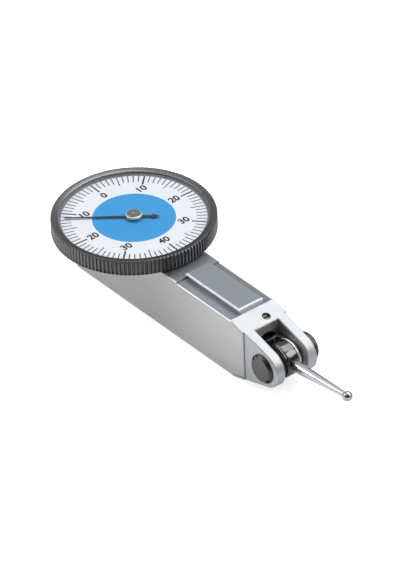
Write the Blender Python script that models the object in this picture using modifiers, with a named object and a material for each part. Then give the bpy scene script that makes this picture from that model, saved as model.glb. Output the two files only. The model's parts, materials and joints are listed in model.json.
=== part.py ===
"""A lever-type dial test indicator: dovetailed slab case, fork nose, swivelling stylus and dial head.

+X runs from the dial axis to the stylus, +Z is up and +Y is the far side. The origin lies on the
case's flat underside, straight below the dial axis.
"""

import math

import bmesh
import bpy
from mathutils import Matrix, Vector

MM = 0.001
OBJECT_NAME = "dial_test_indicator"

# Fits
SEAT_GAP = 0.05 * MM
RUN_GAP = 0.05 * MM
SWING_GAP = 0.20 * MM
OVERLAP = 0.30 * MM
MERGE = 0.0001 * MM

# Slab case
BODY_WIDTH = 10.5 * MM
BODY_HEIGHT = 12.9 * MM
BODY_REAR = 12.0 * MM
BODY_FRONT = 35.5 * MM
SEAM_AHEAD = 3.5 * MM
SIDE_WALL = 1.3 * MM
TOP_WALL = 1.4 * MM
FLOOR_WALL = 1.2 * MM
REAR_WALL = 1.6 * MM
HEAD_OPENING_RADIUS = 4.5 * MM

# Dovetails
DOVETAIL_WIDTH = 6.3 * MM
DOVETAIL_HEIGHT = 1.4 * MM
DOVETAIL_SLOPE = math.radians(60)
DOVETAIL_PAST_BEZEL = 3.2 * MM
DOVETAIL_END_MARGIN = 0.4 * MM
DECK_STEP = 0.3 * MM
REAR_DOVETAIL_LENGTH = 12.0 * MM

# Fork nose
PIVOT_AHEAD = 8.8 * MM
PIVOT_DROP = 0.15 * MM
EAR_RADIUS = 3.8 * MM
EAR_AHEAD = 0.4 * MM
EAR_SPAN = 9.9 * MM
SLOT_WIDTH = 5.6 * MM
LIP = 0.35 * MM
PLUG_LENGTH = 4.0 * MM
ROD_BORE_GAP = 1.25 * MM
NOSE_SCREW_RADIUS = 0.85 * MM
NOSE_SCREW_LENGTH = 1.6 * MM
NOSE_SCREW_SINK = 0.35 * MM
NOSE_SCREW_SLOT = 0.34 * MM
NOSE_SCREW_AHEAD = 2.6 * MM
NOSE_SCREW_SIDE = 1.2 * MM

# Pivot in the fork
PIVOT_SHAFT_RADIUS = 0.6 * MM
BEARING_RADIUS = 1.65 * MM
BEARING_WIDTH = 1.0 * MM
CAP_RADIUS = 3.0 * MM
CAP_FLAT_RADIUS = 2.55 * MM
LEFT_CAP_HEIGHT = 0.65 * MM
RIGHT_CAP_HEIGHT = 1.2 * MM
CAP_CHAMFER = 0.49 * MM
CAP_NOTCH_DEPTH = 0.43 * MM
CAP_NOTCH_RADIUS = 0.35 * MM
CAP_NOTCH_ANGLE = math.radians(141)

# Lever with its yoke and sector
HUB_RADIUS = 3.5 * MM
HUB_WIDTH = 2.5 * MM
WASHER_WIDTH = 0.3 * MM
YOKE_RADIUS = 2.4 * MM
YOKE_WEB = 0.75 * MM
ROD_RISE = 0.8 * MM
ROD_SHARE = 0.367
PINION_TO_PLATE = 0.3 * MM
PINION_OVERHANG = 0.2 * MM
SECTOR_TAIL = 12.0 * MM
ROD_TO_CROWN = 1.7 * MM

# Stylus
STYLUS_TILT = math.radians(4.8)
BALL_RADIUS = 1.0 * MM
STYLUS_ROOT_RADIUS = 1.1 * MM
STYLUS_TIP_RADIUS = 0.55 * MM
STYLUS_COLLAR = 1.4 * MM
SOCKET_RADIUS = 0.95 * MM
SOCKET_REACH = 0.4 * MM

# Gear train: dial travel per turn sets the stylus length
DIVISIONS = 80
GRADUATION = 0.01 * MM
SECTOR_FULL_TEETH = 410
SECTOR_TEETH = 9
LEVER_PINION_TEETH = 15
CROWN_TEETH = 54
CENTRE_PINION_TEETH = 10
CROWN_FLOOR_GAP = 0.25 * MM
TOOTH_SHARE = 0.42
TOOTH_ADDENDUM = 0.75
TOOTH_DEDENDUM = 1.2
CROWN_TOOTH_LENGTH = 0.7 * MM
CROWN_WEB = 0.8 * MM
CENTRE_PINION_WIDTH = 1.3 * MM

# Movement plates, shafts and jewels
PLATE_THICKNESS = 0.8 * MM
PILLAR_FROM_END = 1.6 * MM
PILLAR_FROM_EDGE = 1.0 * MM
PILLAR_RADIUS = 0.8 * MM
TENON_RADIUS = 0.5 * MM
CROWN_SHAFT_RADIUS = 0.6 * MM
SHAFT_PIVOT_RADIUS = 0.3 * MM
JEWEL_RADIUS = 0.75 * MM
ARM_HALF_WIDTH = 1.1 * MM
ARM_HEIGHT = 0.8 * MM
ARM_TO_PINION = 0.5 * MM
ARBOR_RADIUS = 0.5 * MM

# Small screws
SCREW_HEAD_RADIUS = 1.2 * MM
SCREW_HEAD_HEIGHT = 0.45 * MM
SCREW_SHANK_RADIUS = 0.55 * MM
MOVEMENT_SCREW_X = 6.0 * MM
SEAT_SCREW_X = 8.0 * MM

# Dial head, heights above the case's top
BEZEL_RADIUS = 16.0 * MM
BEZEL_LIFT = 0.15 * MM
KNURL_TOP = 3.1 * MM
RIM_TOP = 3.3 * MM
RIM_BAND = 1.4 * MM
RIM_LIP = 0.18 * MM
RIM_EDGE = 0.06 * MM
KNURL_RIBS = 125
KNURL_DEPTH = 0.3 * MM
KNURL_EDGE = 0.3 * MM
KNURL_FOOT = 0.12 * MM
BEZEL_WALL = 0.7 * MM
BEZEL_LEDGE = 0.15 * MM
CRYSTAL_THICKNESS = 0.32 * MM
CRYSTAL_RISE = 0.75 * MM
GASKET_WIDTH = 0.95 * MM
DIAL_TOP = 2.4 * MM
DIAL_THICKNESS = 0.4 * MM
DIAL_HOLE_RADIUS = 1.4 * MM
RETAINER_HEIGHT = 0.28 * MM
RETAINER_WIDTH = 0.6 * MM
SEAT_PLATE = 0.95 * MM
SEAT_RIM = 1.55 * MM
SEAT_RIM_WIDTH = 1.7 * MM
GROOVE_MIDDLE = 0.95 * MM
GROOVE_WIDTH = 0.42 * MM
GROOVE_DEPTH = 0.6 * MM
SNAP_WIRE_RADIUS = 0.14 * MM
SNAP_WIRE_GAP = math.radians(20)

# Pointer and hairspring
POINTER_TIP_GAP = 1.3 * MM
POINTER_TAIL = 4.9 * MM
POINTER_LIFT = 0.27 * MM
POINTER_THICKNESS = 0.1 * MM
POINTER_ROOT_WIDTH = 0.75 * MM
POINTER_TIP_WIDTH = 0.36 * MM
POINTER_EYE_RADIUS = 1.0 * MM
ARROW_LENGTH = 1.4 * MM
ARROW_WIDTH = 1.5 * MM
POINTER_DIVISIONS = 11
BOSS_RADIUS = 1.57 * MM
BOSS_COLLAR_RADIUS = 1.15 * MM
BOSS_HEIGHT = 0.6 * MM
BOSS_DISC = 0.36 * MM
BOSS_EDGE = 0.1 * MM
COLLET_RADIUS = 1.0 * MM
COLLET_HEIGHT = 0.6 * MM
SPRING_TURNS = 4
SPRING_PITCH = 0.85 * MM
SPRING_WIRE_RADIUS = 0.1 * MM
STUD_SIZE = 0.9 * MM
STUD_ABOVE_SPRING = 0.3 * MM

# Facets
LARGE_STEPS = 36
MIDDLE_STEPS = 24
SMALL_STEPS = 16
TINY_STEPS = 12
ARC_STEPS = 12
DOME_STEPS = 4
BALL_STEPS = 8
SHARP_ANGLE = math.radians(35)

# Places that follow from the sizes above
HALF_WIDTH = BODY_WIDTH / 2
INNER_HALF = HALF_WIDTH - SIDE_WALL
CEILING = BODY_HEIGHT - TOP_WALL
SEAM_X = BODY_FRONT + SEAM_AHEAD
DOVETAIL_START = BEZEL_RADIUS + DOVETAIL_PAST_BEZEL
PIVOT_X = BODY_FRONT + PIVOT_AHEAD
PIVOT_Z = BODY_HEIGHT / 2 - PIVOT_DROP
EAR_X = PIVOT_X + EAR_AHEAD
EAR_HALF = EAR_SPAN / 2
SLOT_HALF = SLOT_WIDTH / 2
DECK_Z = BODY_HEIGHT - DECK_STEP
HUB_HALF = HUB_WIDTH / 2
WASHER_OUTER = HUB_HALF + SEAT_GAP + WASHER_WIDTH
YOKE_INNER = WASHER_OUTER + SEAT_GAP
YOKE_OUTER = SLOT_HALF - SWING_GAP
YOKE_FRONT = PIVOT_X - HUB_RADIUS - SWING_GAP
YOKE_REAR = YOKE_FRONT - YOKE_WEB
SLOT_REAR = YOKE_REAR - SWING_GAP
SECTOR_MODULE = 2 * PIVOT_X / (SECTOR_FULL_TEETH + LEVER_PINION_TEETH)
SECTOR_PITCH_RADIUS = SECTOR_MODULE * SECTOR_FULL_TEETH / 2
CROWN_TIP_RADIUS = PIVOT_Z - FLOOR_WALL - CROWN_FLOOR_GAP
CROWN_PITCH_RADIUS = CROWN_TIP_RADIUS - CROWN_TOOTH_LENGTH / 2
CROWN_MODULE = 2 * CROWN_PITCH_RADIUS / CROWN_TEETH
CENTRE_PITCH_RADIUS = CROWN_MODULE * CENTRE_PINION_TEETH / 2
TRAIN_RATIO = SECTOR_FULL_TEETH / LEVER_PINION_TEETH * CROWN_TEETH / CENTRE_PINION_TEETH
STYLUS_LENGTH = DIVISIONS * GRADUATION * TRAIN_RATIO / (2 * math.pi)
CROWN_FACE_Y = -CENTRE_PITCH_RADIUS - TOOTH_DEDENDUM * CROWN_MODULE
CROWN_BACK_Y = CROWN_FACE_Y - CROWN_WEB
ROD_REAR = CROWN_TIP_RADIUS + ROD_TO_CROWN
PLATE_OUTER = INNER_HALF - SEAT_GAP
PLATE_HALF_LENGTH = BODY_REAR - REAR_WALL - SWING_GAP
PLATE_LOW = FLOOR_WALL + SEAT_GAP
PLATE_HIGH = CEILING - SEAT_GAP
PILLAR_X = PLATE_HALF_LENGTH - PILLAR_FROM_END
PILLAR_HIGH = PLATE_HIGH - PILLAR_FROM_EDGE
PILLAR_LOW = PLATE_LOW + PILLAR_FROM_EDGE
PLATE_INNER = PLATE_OUTER - PLATE_THICKNESS
ROD_RADIUS = INNER_HALF * ROD_SHARE
ROD_Z = PIVOT_Z + ROD_RISE
ROD_BORE_RADIUS = ROD_RADIUS + ROD_BORE_GAP
SECTOR_LOW_Y = ROD_RADIUS + SEAT_GAP
PINION_LOW_Y = SECTOR_LOW_Y - PINION_OVERHANG
PINION_HIGH_Y = PLATE_INNER - PINION_TO_PLATE
SECTOR_HIGH_Y = PINION_HIGH_Y - PINION_OVERHANG
CENTRE_PINION_Z = PIVOT_Z + CROWN_PITCH_RADIUS
ARM_LOW = PIVOT_Z + SECTOR_MODULE * (LEVER_PINION_TEETH / 2 + TOOTH_ADDENDUM) + ARM_TO_PINION
ARM_TOP = ARM_LOW + ARM_HEIGHT
RIM_OPENING_RADIUS = BEZEL_RADIUS - RIM_BAND
POINTER_LENGTH = RIM_OPENING_RADIUS - POINTER_TIP_GAP
BEZEL_BORE = BEZEL_RADIUS - KNURL_DEPTH - BEZEL_WALL
STACK_RADIUS = BEZEL_BORE - BEZEL_LEDGE
SEAT_RADIUS = BEZEL_BORE - 2 * RUN_GAP
SEAT_LOW = BODY_HEIGHT + SEAT_GAP
SEAT_TOP = SEAT_LOW + SEAT_PLATE
SEAT_RIM_TOP = SEAT_LOW + SEAT_RIM
GROOVE_Z = SEAT_LOW + GROOVE_MIDDLE
DIAL_Z = BODY_HEIGHT + DIAL_TOP
DIAL_UNDER = DIAL_Z - DIAL_THICKNESS
RIM_Z = BODY_HEIGHT + RIM_TOP
CRYSTAL_TOP = RIM_Z - RIM_LIP - SEAT_GAP
CRYSTAL_UNDER = CRYSTAL_TOP - CRYSTAL_THICKNESS
PART_RADIUS = STACK_RADIUS - SEAT_GAP
POINTER_LOW = DIAL_Z + POINTER_LIFT
POINTER_HIGH = POINTER_LOW + POINTER_THICKNESS
BOSS_LOW = POINTER_HIGH + SEAT_GAP
COLLET_LOW = SEAT_TOP + SWING_GAP
STYLUS_ROOT = HUB_RADIUS + SOCKET_REACH + SEAT_GAP
STYLUS_AXIS = Vector((math.cos(STYLUS_TILT), 0, math.sin(STYLUS_TILT)))

PIVOT = Vector((PIVOT_X, 0, PIVOT_Z))
CROWN_CENTRE = Vector((0, 0, PIVOT_Z))
X_AXIS = Vector((1, 0, 0))
Y_AXIS = Vector((0, 1, 0))
Z_AXIS = Vector((0, 0, 1))

# How an outline's own x, y and thickness lie in space for each direction it can be pushed along
OUTLINE_TURNS = {
    "X": Matrix(((0, 0, 1), (1, 0, 0), (0, 1, 0))),
    "Y": Matrix(((1, 0, 0), (0, 0, -1), (0, 1, 0))),
    "Z": Matrix.Identity(3),
}
PUSH_AXES = {"X": X_AXIS, "Y": Y_AXIS, "Z": Z_AXIS}

# Finishes: colour, roughness, metallic
STEEL = ((0.42, 0.42, 0.41), 0.35, 1.0)
WHITE_SATIN = ((0.82, 0.84, 0.85), 0.45, 0.6)
DARK_STEEL = ((0.09, 0.085, 0.08), 0.35, 1.0)
BLACK_BEZEL = ((0.08, 0.08, 0.08), 0.35, 0.9)
CHROME = ((0.75, 0.75, 0.76), 0.08, 1.0)
NICKEL = ((0.45, 0.42, 0.38), 0.25, 1.0)
BRASS = ((0.60, 0.44, 0.18), 0.3, 1.0)
RUBY = ((0.45, 0.02, 0.06), 0.1, 0.0)
CLEAR = ((0.95, 0.97, 0.98), 0.03, 0.0)
RUBBER = ((0.02, 0.02, 0.02), 0.7, 0.0)
DIAL_WHITE = ((0.85, 0.86, 0.90), 0.5, 0.0)
SPRING_BLUE = ((0.10, 0.14, 0.30), 0.25, 1.0)


def clear_scene():
    for old in list(bpy.data.objects):
        bpy.data.objects.remove(old, do_unlink=True)


def new_collection(name):
    made = bpy.data.collections.new(name)
    bpy.context.scene.collection.children.link(made)
    return made


def finish_material(name, finish):
    colour, roughness, metallic = finish
    material = bpy.data.materials.new(name)
    material.use_nodes = True
    shader = material.node_tree.nodes["Principled BSDF"]
    shader.inputs["Base Color"].default_value = (*colour, 1.0)
    shader.inputs["Roughness"].default_value = roughness
    shader.inputs["Metallic"].default_value = metallic
    material.diffuse_color = (*colour, 1.0)
    return material


def frame_along(origin, direction):
    """A frame at origin whose own Z runs along direction."""
    turn = Vector(direction).to_track_quat("Z", "Y").to_matrix().to_4x4()
    return Matrix.Translation(origin) @ turn


def ring(low_radius, high_radius, low, high):
    """Profile of a plain ring, down its outer side and up its bore."""
    return [(high_radius, high), (high_radius, low), (low_radius, low), (low_radius, high)]


def rod(radius, low, high):
    """Profile of a plain solid cylinder, from the axis out, down and back."""
    return [(0, high), (radius, high), (radius, low), (0, low)]


def arc(centre, radius, start, end, steps):
    """Points round a centre from one angle to another, both ends included."""
    return [
        (
            centre[0] + radius * math.cos(start + (end - start) * i / steps),
            centre[1] + radius * math.sin(start + (end - start) * i / steps),
        )
        for i in range(steps + 1)
    ]


def rectangle(x_low, x_high, y_low, y_high):
    return [(x_low, y_low), (x_high, y_low), (x_high, y_high), (x_low, y_high)]


def circle(centre, radius, steps):
    return arc(centre, radius, 0, 2 * math.pi * (steps - 1) / steps, steps - 1)


class Shop:
    """Makes the solids, and keeps the parts and the cutters in their own collections."""

    def __init__(self):
        self.parts = new_collection(OBJECT_NAME)
        self.cutters = new_collection("cutters")

    def place(self, obj, finish):
        """Puts a shape with the parts, or with the cutters where it has no finish."""
        if finish is None:
            self.cutters.objects.link(obj)
            obj.hide_render = True
            obj.display_type = "WIRE"
        else:
            self.parts.objects.link(obj)
            obj.data.materials.append(finish_material(obj.name, finish))
        return obj

    def prism(self, name, outlines, axis, low, high, finish=None):
        """A flat outline, with any holes after it, pushed along an axis from low to high."""
        curve = bpy.data.curves.new(name, "CURVE")
        curve.dimensions = "2D"
        curve.fill_mode = "BOTH"
        curve.extrude = (high - low) / 2
        for outline in outlines:
            spline = curve.splines.new("POLY")
            spline.points.add(len(outline) - 1)
            for point, (u, v) in zip(spline.points, outline):
                point.co = (u, v, 0, 1)
            spline.use_cyclic_u = True
        middle = Matrix.Translation(PUSH_AXES[axis] * (low + high) / 2)
        return self.solid(name, curve, middle @ OUTLINE_TURNS[axis].to_4x4(), finish)

    def wire(self, name, points, radius, finish):
        """An open round wire through the points."""
        curve = bpy.data.curves.new(name, "CURVE")
        curve.dimensions = "3D"
        curve.bevel_depth = radius
        curve.bevel_resolution = 0
        curve.use_fill_caps = True
        spline = curve.splines.new("POLY")
        spline.points.add(len(points) - 1)
        for point, place in zip(spline.points, points):
            point.co = (*place, 1)
        return self.solid(name, curve, Matrix.Identity(4), finish)

    def solid(self, name, curve, matrix, finish):
        """A curve made into a closed mesh."""
        guide = bpy.data.objects.new(name + "_curve", curve)
        bpy.context.scene.collection.objects.link(guide)
        guide.matrix_world = matrix
        graph = bpy.context.evaluated_depsgraph_get()
        mesh = bpy.data.meshes.new_from_object(guide.evaluated_get(graph))
        bpy.data.objects.remove(guide, do_unlink=True)
        shape = bmesh.new()
        shape.from_mesh(mesh)
        bmesh.ops.remove_doubles(shape, verts=shape.verts, dist=MERGE)
        bmesh.ops.recalc_face_normals(shape, faces=shape.faces)
        shape.to_mesh(mesh)
        shape.free()
        mesh.materials.clear()
        obj = bpy.data.objects.new(name, mesh)
        obj.matrix_world = matrix
        return self.place(obj, finish)

    def turned(self, name, profile, steps, frame, finish=None):
        """A profile of (radius, height) points turned about the frame's Z."""
        mesh = bpy.data.meshes.new(name)
        last = len(profile) - 1
        edges = [(i, i + 1) for i in range(last)]
        if profile[0][0] > 0:
            edges.append((last, 0))
        mesh.from_pydata([(r, 0, h) for r, h in profile], edges, [])
        obj = bpy.data.objects.new(name, mesh)
        obj.matrix_world = frame
        screw = obj.modifiers.new("turn", "SCREW")
        screw.steps = screw.render_steps = steps
        screw.use_merge_vertices = True
        screw.merge_threshold = MERGE
        return self.place(obj, finish)

    def box(self, name, low, high):
        """A block between two corners, as a cutter or a tool to join."""
        mesh = bpy.data.meshes.new(name)
        shape = bmesh.new()
        bmesh.ops.create_cube(shape, size=1.0)
        size = Vector(high) - Vector(low)
        bmesh.ops.scale(shape, vec=size, verts=shape.verts)
        bmesh.ops.translate(shape, vec=(Vector(low) + Vector(high)) / 2, verts=shape.verts)
        shape.to_mesh(mesh)
        shape.free()
        return self.place(bpy.data.objects.new(name, mesh), None)


def cut(part, *tools):
    for tool in tools:
        join(part, tool, "DIFFERENCE")
    return part


def join(part, tool, operation="UNION"):
    modifier = part.modifiers.new(tool.name, "BOOLEAN")
    modifier.operation = operation
    modifier.solver = "EXACT"
    modifier.object = tool
    return part


def slope_angles():
    """Angles of the nose's upper and lower slopes, which run tangent to the round ear ends."""
    angles = []
    for start, side in ((BODY_HEIGHT, 1), (0, -1)):
        across = EAR_X - BODY_FRONT
        rise = PIVOT_Z - start
        toward = math.atan2(rise, across)
        angles.append(toward + side * math.asin(EAR_RADIUS / math.hypot(across, rise)))
    return angles


UPPER_SLOPE, LOWER_SLOPE = slope_angles()


def upper_edge(x):
    return BODY_HEIGHT + (x - BODY_FRONT) * math.tan(UPPER_SLOPE)


def lower_edge(x):
    return (x - BODY_FRONT) * math.tan(LOWER_SLOPE)


def walled_front(start, gap):
    """Outline of the case's side walls ahead of the deck, under the nose's lip."""
    seam = SEAM_X - gap
    return [
        (start, lower_edge(start) + LIP + gap),
        (seam, lower_edge(seam) + LIP + gap),
        (seam, upper_edge(seam) - LIP - gap),
        (start, upper_edge(start) - LIP - gap),
    ]


def dovetail(middle_half, top, bottom):
    """Section of a male dovetail: wide at the top, undercut to the bottom."""
    narrow = middle_half - (top - bottom) / math.tan(DOVETAIL_SLOPE)
    return [(-narrow, bottom), (narrow, bottom), (middle_half, top), (-middle_half, top)]


def movement_screw_places():
    return [("front", MOVEMENT_SCREW_X), ("rear", -MOVEMENT_SCREW_X)]


def seat_screw_places():
    return [("front", SEAT_SCREW_X), ("rear", -SEAT_SCREW_X)]


def make_case(shop):
    front = BODY_FRONT - SEAT_GAP
    outline = [(-BODY_REAR, 0), (front, 0)] + walled_front(front, SEAT_GAP)
    outline += [(front, BODY_HEIGHT), (-BODY_REAR, BODY_HEIGHT)]
    case = shop.prism("case", [outline], "Y", -HALF_WIDTH, HALF_WIDTH, STEEL)
    beyond = SEAM_X + OVERLAP
    wide = HALF_WIDTH + OVERLAP
    cut(
        case,
        shop.box(
            "case_cavity",
            (REAR_WALL - BODY_REAR, -INNER_HALF, FLOOR_WALL),
            (beyond, INNER_HALF, CEILING),
        ),
        shop.box(
            "case_mouth",
            (front, -INNER_HALF, -OVERLAP),
            (beyond, INNER_HALF, BODY_HEIGHT + OVERLAP),
        ),
        shop.box(
            "deck_strips",
            (DOVETAIL_START, -wide, DECK_Z),
            (front + OVERLAP, wide, BODY_HEIGHT + OVERLAP),
        ),
    )
    half = DOVETAIL_WIDTH / 2
    top = DECK_Z + DOVETAIL_HEIGHT
    section = dovetail(half, top, DECK_Z - OVERLAP)
    end = BODY_FRONT - DOVETAIL_END_MARGIN
    join(case, shop.prism("top_dovetail", [section], "X", DOVETAIL_START, end))
    rear = dovetail(half, BODY_REAR + DOVETAIL_HEIGHT, BODY_REAR - OVERLAP)
    rear_outline = [(-outward, side) for side, outward in rear]
    middle = BODY_HEIGHT / 2
    reach = REAR_DOVETAIL_LENGTH / 2
    join(case, shop.prism("rear_dovetail", [rear_outline], "Z", middle - reach, middle + reach))
    top_hole = rod(HEAD_OPENING_RADIUS, CEILING - OVERLAP, BODY_HEIGHT + OVERLAP)
    cut(case, shop.turned("head_opening", top_hole, MIDDLE_STEPS, Matrix.Identity(4)))
    for name, x in seat_screw_places():
        hole = rod(SCREW_SHANK_RADIUS + SEAT_GAP, CEILING - OVERLAP, BODY_HEIGHT + OVERLAP)
        cut(case, shop.turned(f"seat_hole_{name}", hole, TINY_STEPS, frame_along((x, 0, 0), Z_AXIS)))
    for name, x in movement_screw_places():
        cut(case, movement_screw_hole(shop, name, x))
    return case


def movement_screw_hole(shop, name, x):
    """Stepped hole through the far wall for a flush-headed screw."""
    shank = SCREW_SHANK_RADIUS + SEAT_GAP
    head = SCREW_HEAD_RADIUS + SEAT_GAP
    shoulder = HALF_WIDTH - SCREW_HEAD_HEIGHT - 2 * SEAT_GAP
    profile = [
        (0, HALF_WIDTH + OVERLAP),
        (head, HALF_WIDTH + OVERLAP),
        (head, shoulder),
        (shank, shoulder),
        (shank, INNER_HALF - OVERLAP),
        (0, INNER_HALF - OVERLAP),
    ]
    return shop.turned(f"movement_hole_{name}", profile, TINY_STEPS, frame_along((x, 0, PIVOT_Z), Y_AXIS))


def nose_outline():
    upper = UPPER_SLOPE + math.pi / 2
    lower = LOWER_SLOPE - math.pi / 2
    ear = arc((EAR_X, PIVOT_Z), EAR_RADIUS, upper, lower, ARC_STEPS)
    return [(BODY_FRONT, BODY_HEIGHT)] + ear + [(BODY_FRONT, 0)]


def nose_screw_frame():
    """On the upper slope, square to it."""
    x = BODY_FRONT + NOSE_SCREW_AHEAD
    normal = Vector((-math.sin(UPPER_SLOPE), 0, math.cos(UPPER_SLOPE)))
    return frame_along((x, NOSE_SCREW_SIDE, upper_edge(x)), normal)


def make_nose(shop):
    nose = shop.prism("nose_block", [nose_outline()], "Y", -HALF_WIDTH, HALF_WIDTH, WHITE_SATIN)
    core = INNER_HALF - SEAT_GAP
    wide = HALF_WIDTH + OVERLAP
    plug_low = (BODY_FRONT - PLUG_LENGTH, -core, FLOOR_WALL + SEAT_GAP)
    plug_high = (SEAM_X, core, CEILING - SEAT_GAP)
    join(nose, shop.box("nose_plug", plug_low, plug_high))
    recess = walled_front(BODY_FRONT - OVERLAP, 0)
    ears_front = EAR_X + EAR_RADIUS + OVERLAP
    for side, sign in (("left", -1), ("right", 1)):
        span = sorted((sign * core, sign * wide))
        cut(nose, shop.prism(f"wall_recess_{side}", [recess], "Y", *span))
        step = sorted((sign * EAR_HALF, sign * wide))
        low = (SEAM_X - MERGE, step[0], -OVERLAP)
        high = (ears_front, step[1], BODY_HEIGHT + OVERLAP)
        cut(nose, shop.box(f"ear_step_{side}", low, high))
    slot_low = (SLOT_REAR, -SLOT_HALF, -OVERLAP)
    slot_high = (ears_front, SLOT_HALF, BODY_HEIGHT + OVERLAP)
    rod_hole = rod(ROD_BORE_RADIUS, BODY_FRONT - PLUG_LENGTH - OVERLAP, SLOT_REAR + OVERLAP)
    pivot_hole = rod(BEARING_RADIUS + SEAT_GAP, -wide, wide)
    depth = NOSE_SCREW_SINK + NOSE_SCREW_LENGTH + SEAT_GAP
    screw_hole = rod(NOSE_SCREW_RADIUS + SEAT_GAP, -depth, OVERLAP)
    cut(
        nose,
        shop.box("fork_slot", slot_low, slot_high),
        shop.turned("rod_bore", rod_hole, MIDDLE_STEPS, frame_along((0, 0, ROD_Z), X_AXIS)),
        shop.turned("pivot_bore", pivot_hole, MIDDLE_STEPS, frame_along(PIVOT, Y_AXIS)),
        shop.turned("nose_screw_hole", screw_hole, TINY_STEPS, nose_screw_frame()),
    )
    return nose


def make_nose_screw(shop):
    top = -NOSE_SCREW_SINK
    profile = rod(NOSE_SCREW_RADIUS, top - NOSE_SCREW_LENGTH, top)
    screw = shop.turned("nose_screw", profile, TINY_STEPS, nose_screw_frame(), DARK_STEEL)
    slot_half = NOSE_SCREW_SLOT / 2
    reach = NOSE_SCREW_RADIUS + OVERLAP
    low = (-reach, -slot_half, top - NOSE_SCREW_SLOT)
    slot = shop.box("nose_screw_slot", low, (reach, slot_half, OVERLAP))
    slot.matrix_world = nose_screw_frame()
    return cut(screw, slot)


def make_pivot_caps(shop):
    """A notched screw and a bearing ring in each ear."""
    bearing_low = SLOT_HALF + SEAT_GAP
    bearing_high = bearing_low + BEARING_WIDTH
    made = []
    for side, sign, height in (("left", -1, LEFT_CAP_HEIGHT), ("right", 1, RIGHT_CAP_HEIGHT)):
        frame = frame_along(PIVOT, Y_AXIS * sign)
        bearing = ring(PIVOT_SHAFT_RADIUS + RUN_GAP, BEARING_RADIUS, bearing_low, bearing_high)
        made.append(shop.turned(f"pivot_bearing_{side}", bearing, TINY_STEPS, frame, NICKEL))
        seat = EAR_HALF + SEAT_GAP
        top = seat + height
        screw = [
            (0, top),
            (CAP_FLAT_RADIUS, top),
            (CAP_RADIUS, top - CAP_CHAMFER),
            (CAP_RADIUS, seat),
            (BEARING_RADIUS, seat),
            (BEARING_RADIUS, bearing_high + SEAT_GAP),
            (0, bearing_high + SEAT_GAP),
        ]
        cap = shop.turned(f"pivot_screw_{side}", screw, MIDDLE_STEPS, frame, DARK_STEEL)
        for number, angle in enumerate((CAP_NOTCH_ANGLE, CAP_NOTCH_ANGLE + math.pi)):
            offset = Vector((math.cos(angle), 0, math.sin(angle))) * CAP_RADIUS
            notch = rod(CAP_NOTCH_RADIUS, top - CAP_NOTCH_DEPTH, top + OVERLAP)
            spot = frame_along(PIVOT + offset, Y_AXIS * sign)
            cut(cap, shop.turned(f"cap_notch_{side}_{number}", notch, TINY_STEPS, spot))
        made.append(cap)
    return made


def leaf_angles(teeth, first):
    return [first + 2 * math.pi * i / teeth for i in range(teeth)]


def tooth(pitch_radius, module, teeth, angle):
    """Root, flank and tip points of one tooth, in turning order."""
    half = TOOTH_SHARE * math.pi / teeth
    root = pitch_radius - TOOTH_DEDENDUM * module
    tip = pitch_radius + TOOTH_ADDENDUM * module
    steps = [(root, -half), (pitch_radius, -half), (tip, -half / 2)]
    steps += [(radius, -turn) for radius, turn in reversed(steps)]
    return [(radius * math.cos(angle + turn), radius * math.sin(angle + turn)) for radius, turn in steps]


def pinion_outline(teeth, module, first):
    points = []
    for angle in leaf_angles(teeth, first):
        points += tooth(module * teeth / 2, module, teeth, angle)
    return points


def make_sector(shop):
    """A short arc of teeth facing the crown shaft, on a tapering tail fixed to the lever rod."""
    pitch = 2 * math.pi / SECTOR_FULL_TEETH
    points = []
    for i in range(SECTOR_TEETH):
        angle = math.pi + (i - (SECTOR_TEETH - 1) / 2) * pitch
        points += tooth(SECTOR_PITCH_RADIUS, SECTOR_MODULE, SECTOR_FULL_TEETH, angle)
    tail = ROD_REAR + SECTOR_TAIL - PIVOT_X
    points += [(tail, ROD_RISE - ROD_RADIUS), (tail, ROD_RISE + ROD_RADIUS)]
    outline = [(PIVOT_X + x, PIVOT_Z + z) for x, z in points]
    return shop.prism("sector_gear", [outline], "Y", SECTOR_LOW_Y, SECTOR_HIGH_Y, BRASS)


def make_lever(shop):
    """Yoke round the contact hub, with a long rod back to the sector."""
    yoke = arc((PIVOT_X, PIVOT_Z), YOKE_RADIUS, math.pi / 2, -math.pi / 2, ARC_STEPS)
    yoke += [(YOKE_REAR, PIVOT_Z - YOKE_RADIUS), (YOKE_REAR, PIVOT_Z + YOKE_RADIUS)]
    lever = shop.prism("lever_arm", [yoke], "Y", -YOKE_OUTER, YOKE_OUTER, DARK_STEEL)
    reach = HUB_RADIUS + SWING_GAP + OVERLAP
    low = (YOKE_FRONT, -YOKE_INNER, PIVOT_Z - reach)
    high = (PIVOT_X + reach, YOKE_INNER, PIVOT_Z + reach)
    rod_profile = rod(ROD_RADIUS, ROD_REAR, YOKE_REAR + YOKE_WEB / 2)
    bore = rod(PIVOT_SHAFT_RADIUS + SEAT_GAP, -SLOT_HALF, SLOT_HALF)
    join(lever, shop.turned("lever_rod", rod_profile, SMALL_STEPS, frame_along((0, 0, ROD_Z), X_AXIS)))
    cut(
        lever,
        shop.box("hub_room", low, high),
        shop.turned("shaft_hole", bore, SMALL_STEPS, frame_along(PIVOT, Y_AXIS)),
    )
    end = SLOT_HALF + BEARING_WIDTH
    shaft_profile = rod(PIVOT_SHAFT_RADIUS, -end, end)
    shaft = shop.turned("pivot_shaft", shaft_profile, SMALL_STEPS, frame_along(PIVOT, Y_AXIS), CHROME)
    return [lever, shaft, make_sector(shop)]


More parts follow.
